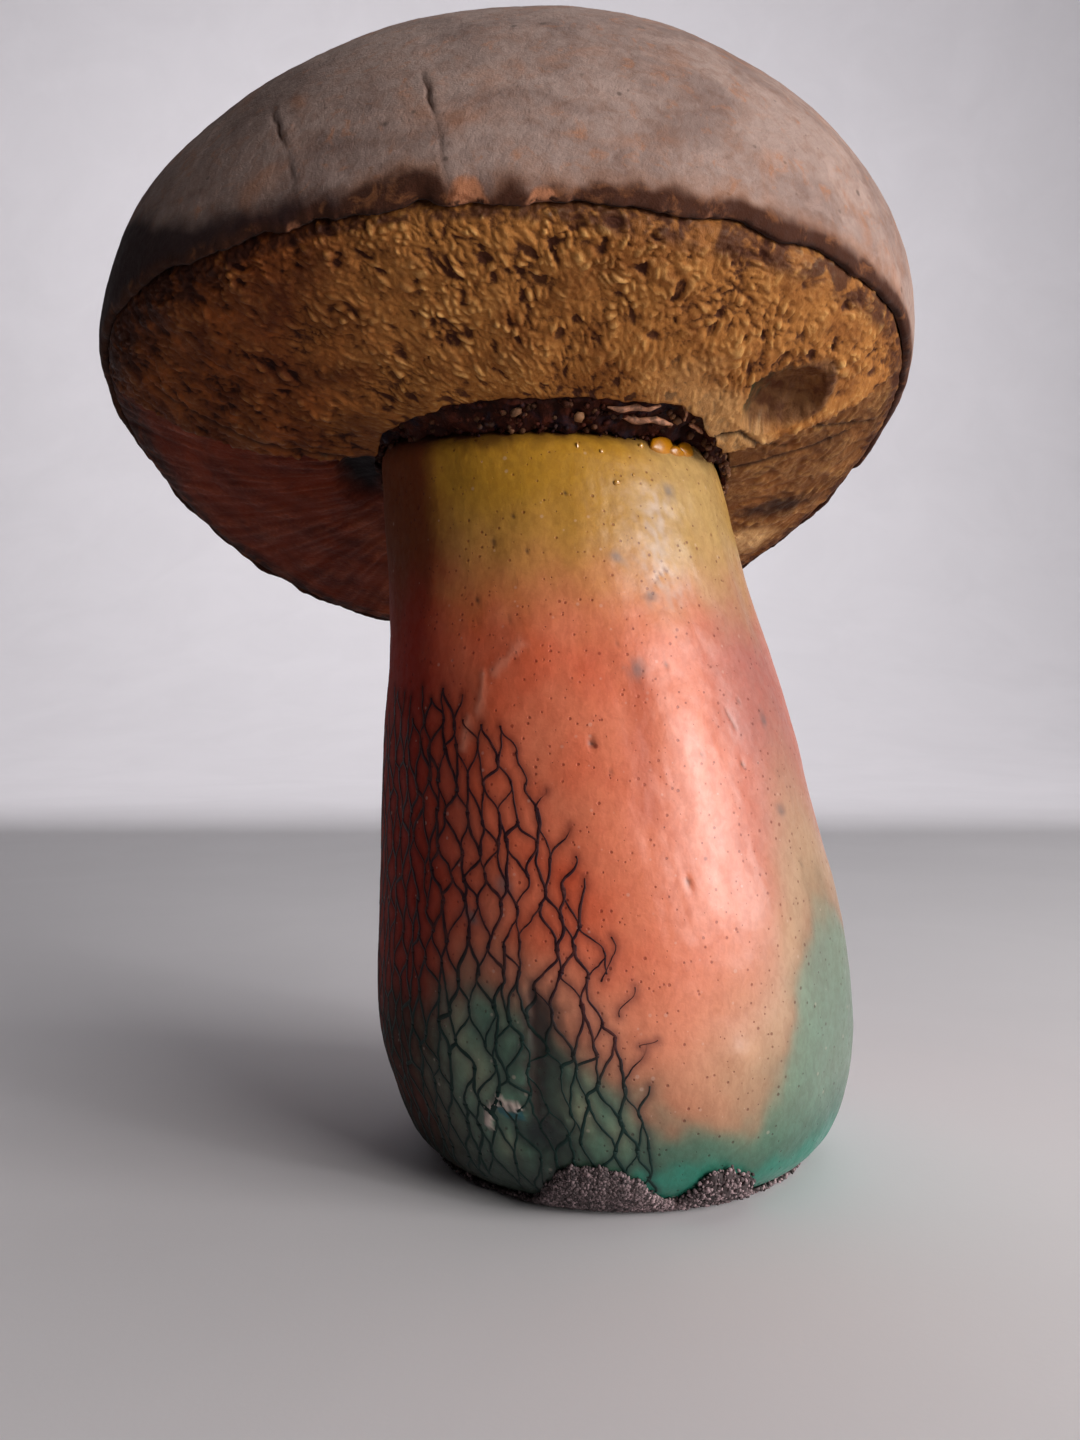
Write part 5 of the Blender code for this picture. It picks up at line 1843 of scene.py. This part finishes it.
class BOLETE_OT_grit(Operator):
    """Make the grit crust on the foot"""

    bl_idname = "bolete.grit"
    bl_label = "Grit crust"

    def execute(self, context):
        grit = context.scene.bolete.grit
        clear_piece("grit_bed")
        clear_piece("grit_grains")
        look = grit_material(grit)
        points = crust_points()
        made = round_grid_object("grit_bed", points, ring=True)
        shade = np.clip(0.12 + 0.4 * noise(points, 0.5, 181), 0, 1)
        place(made, look, "grit", "grit_crust", shade=shade)

        random = np.random.default_rng(11)
        count = grit.count
        angle = random.uniform(0, TURN, count)
        chance = crust_height(angle) / crust_height(angle).max()
        angle = np.where(
            random.uniform(0, 1, count) < chance + 0.15, angle, np.radians(random.normal(261, 11, count)),
        )
        share = random.uniform(0.0, 1.0, count) ** 0.9 * 1.05
        centres = crust_surface(angle, np.clip(share, 0, 1.0), np.full(count, 0.82))
        centres[:, 2] += np.maximum(share - 1.0, 0) * 8.0
        centres[:, 2] = np.maximum(centres[:, 2], 0.45)
        radii = grit.grain / MM * random.uniform(0.55, 1.35, (count, 1)) * random.uniform(
            0.75, 1.25, (count, 3),
        )
        grains = lump_points(centres, radii, 12)
        grains[..., 2] = np.maximum(grains[..., 2], 0.02)
        made = lumps_object("grit_grains", grains)
        # Painted shade: grains on the left side of the foot are darker.
        side = 0.55 + 0.45 * smooth_step((degrees_apart(angle, -90.0) + 6.0) / 14.0)
        place(made, look, "grit", shade=np.repeat(side * random.beta(0.8, 1.2, count), 12))
        return {"FINISHED"}


# Lights: name, place and point aimed at in metres, two sides in metres, colour.
LIGHTS = (
    ("window_light", (0.51, -0.36, 0.22), (-0.01, 0.0, 0.075), (0.52, 0.28), (1.0, 0.965, 0.94)),
    ("window_glint", (0.50, -0.36, 0.20), (-0.01, 0.0, 0.075), (0.06, 0.08), (1.0, 0.98, 0.98)),
    ("ceiling_light", (0.35, 0.30, 1.15), (0.05, 0.10, 0.0), (1.3, 1.0), (1.0, 0.98, 1.0)),
    ("backdrop_light", (-0.15, 0.20, 0.62), (-0.15, 1.50, 1.05), (1.6, 0.5), (1.0, 0.97, 1.0)),
)
LENS, SENSOR = 30.0, 36.0  # mm
# Floor: a sheet in mm, flat in front and bent up into the backdrop behind.
FLOOR_ROWS, FLOOR_COLUMNS = 60, 40
FLOOR_LENGTH, FLOOR_FRONT, FLOOR_HALF_WIDTH = 3700.0, -900.0, 1800.0


class BOLETE_OT_stage(Operator):
    """Make the floor, the lights and the camera"""

    bl_idname = "bolete.stage"
    bl_label = "Stage"

    def execute(self, context):
        stage = context.scene.bolete.stage
        for name in ("pale_floor", "camera"):
            clear_piece(name)
        t = np.linspace(0.0, 1.0, FLOOR_ROWS)
        bend = math.pi / 2 * smooth_step((t - 0.40) / 0.42)
        length = FLOOR_LENGTH * (t[1] - t[0])
        y = FLOOR_FRONT + np.concatenate(((0.0,), np.cumsum(np.cos(bend[:-1]) * length)))
        z = np.concatenate(((0.0,), np.cumsum(np.sin(bend[:-1]) * length)))
        x = np.linspace(-FLOOR_HALF_WIDTH, FLOOR_HALF_WIDTH, FLOOR_COLUMNS)
        grid = np.stack(
            (x[None, :] + 0 * y[:, None], y[:, None] + 0 * x[None, :], z[:, None] + 0 * x[None, :]), -1,
        )
        corner = np.arange(FLOOR_ROWS - 1)[:, None] * FLOOR_COLUMNS + np.arange(FLOOR_COLUMNS - 1)[None, :]
        above = corner + FLOOR_COLUMNS
        quads = np.stack((corner, corner + 1, above + 1, above), -1)
        floor = mesh_object("pale_floor", grid.reshape(-1, 3), quads)
        floor.data.materials.append(floor_material(stage))

        world = bpy.data.worlds.new("soft_room")
        world.use_nodes = True
        background = world.node_tree.nodes["Background"]
        background.inputs["Color"].default_value = (1.0, 0.93, 0.90, 1.0)
        background.inputs["Strength"].default_value = stage.fill
        context.scene.world = world
        powers = {
            "window_light": stage.window * 0.91,
            "window_glint": stage.window * 0.09,
            "ceiling_light": stage.ceiling,
            "backdrop_light": stage.backdrop,
        }
        for name, start, end, size, colour in LIGHTS:
            clear_piece(name)
            light = bpy.data.lights.new(name, "AREA")
            light.shape = "RECTANGLE"
            light.size, light.size_y = size
            light.energy = powers[name]
            light.color = colour
            lamp = bpy.data.objects.new(name, light)
            lamp.matrix_world = Matrix.Translation(start) @ aim(start, end)
            context.scene.collection.objects.link(lamp)

        lens = bpy.data.cameras.new("camera")
        lens.lens, lens.sensor_width = LENS, SENSOR
        lens.clip_start, lens.clip_end = 0.005, 20.0
        camera = bpy.data.objects.new("camera", lens)
        camera.matrix_world = Matrix.Translation(CAMERA_PLACE * MM) @ Matrix.Rotation(math.pi / 2, 4, "X")
        context.scene.collection.objects.link(camera)
        context.scene.camera = camera
        context.scene.view_settings.view_transform = "Standard"
        return {"FINISHED"}


def aim(start, end):
    """Rotation of a light at start that shines at end: its -Z looks along the line."""
    back = np.array(start) - np.array(end)
    back /= np.linalg.norm(back)
    right = np.cross((0.0, 0.0, 1.0), back)
    right /= np.linalg.norm(right)
    up = np.cross(back, right)
    return Matrix(np.stack((right, up, back), -1).tolist()).to_4x4()


OPERATORS = (
    BOLETE_OT_stage,
    BOLETE_OT_cap,
    BOLETE_OT_pores,
    BOLETE_OT_stem,
    BOLETE_OT_net,
    BOLETE_OT_seam,
    BOLETE_OT_grit,
)


class BOLETE_PT_panel(Panel):
    """Buttons and settings of the bolete"""

    bl_label = "Bitter beech bolete"
    bl_idname = "BOLETE_PT_panel"
    bl_space_type = "VIEW_3D"
    bl_region_type = "UI"
    bl_category = "Bolete"

    def draw(self, context):
        settings = context.scene.bolete
        for operator in OPERATORS:
            self.layout.operator(operator.bl_idname)
        for group in ("cap", "pores", "stem", "net", "seam", "grit", "stage"):
            box = self.layout.box()
            box.label(text=group.capitalize())
            values = getattr(settings, group)
            for name in values.__annotations__:
                box.prop(values, name)


SETTINGS = (
    CapSettings, PoreSettings, StemSettings, NetSettings, SeamSettings, GritSettings, StageSettings,
    BoleteSettings,
)


def register():
    for made in (*SETTINGS, *OPERATORS, BOLETE_PT_panel):
        bpy.utils.register_class(made)
    bpy.types.Scene.bolete = PointerProperty(type=BoleteSettings)


def unregister():
    del bpy.types.Scene.bolete
    for made in reversed((*SETTINGS, *OPERATORS, BOLETE_PT_panel)):
        bpy.utils.unregister_class(made)


def main():
    register()
    bpy.ops.bolete.stage()
    bpy.ops.bolete.cap()
    bpy.ops.bolete.pores()
    bpy.ops.bolete.stem()
    bpy.ops.bolete.net()
    bpy.ops.bolete.seam()
    bpy.ops.bolete.grit()


if __name__ == "__main__":
    main()
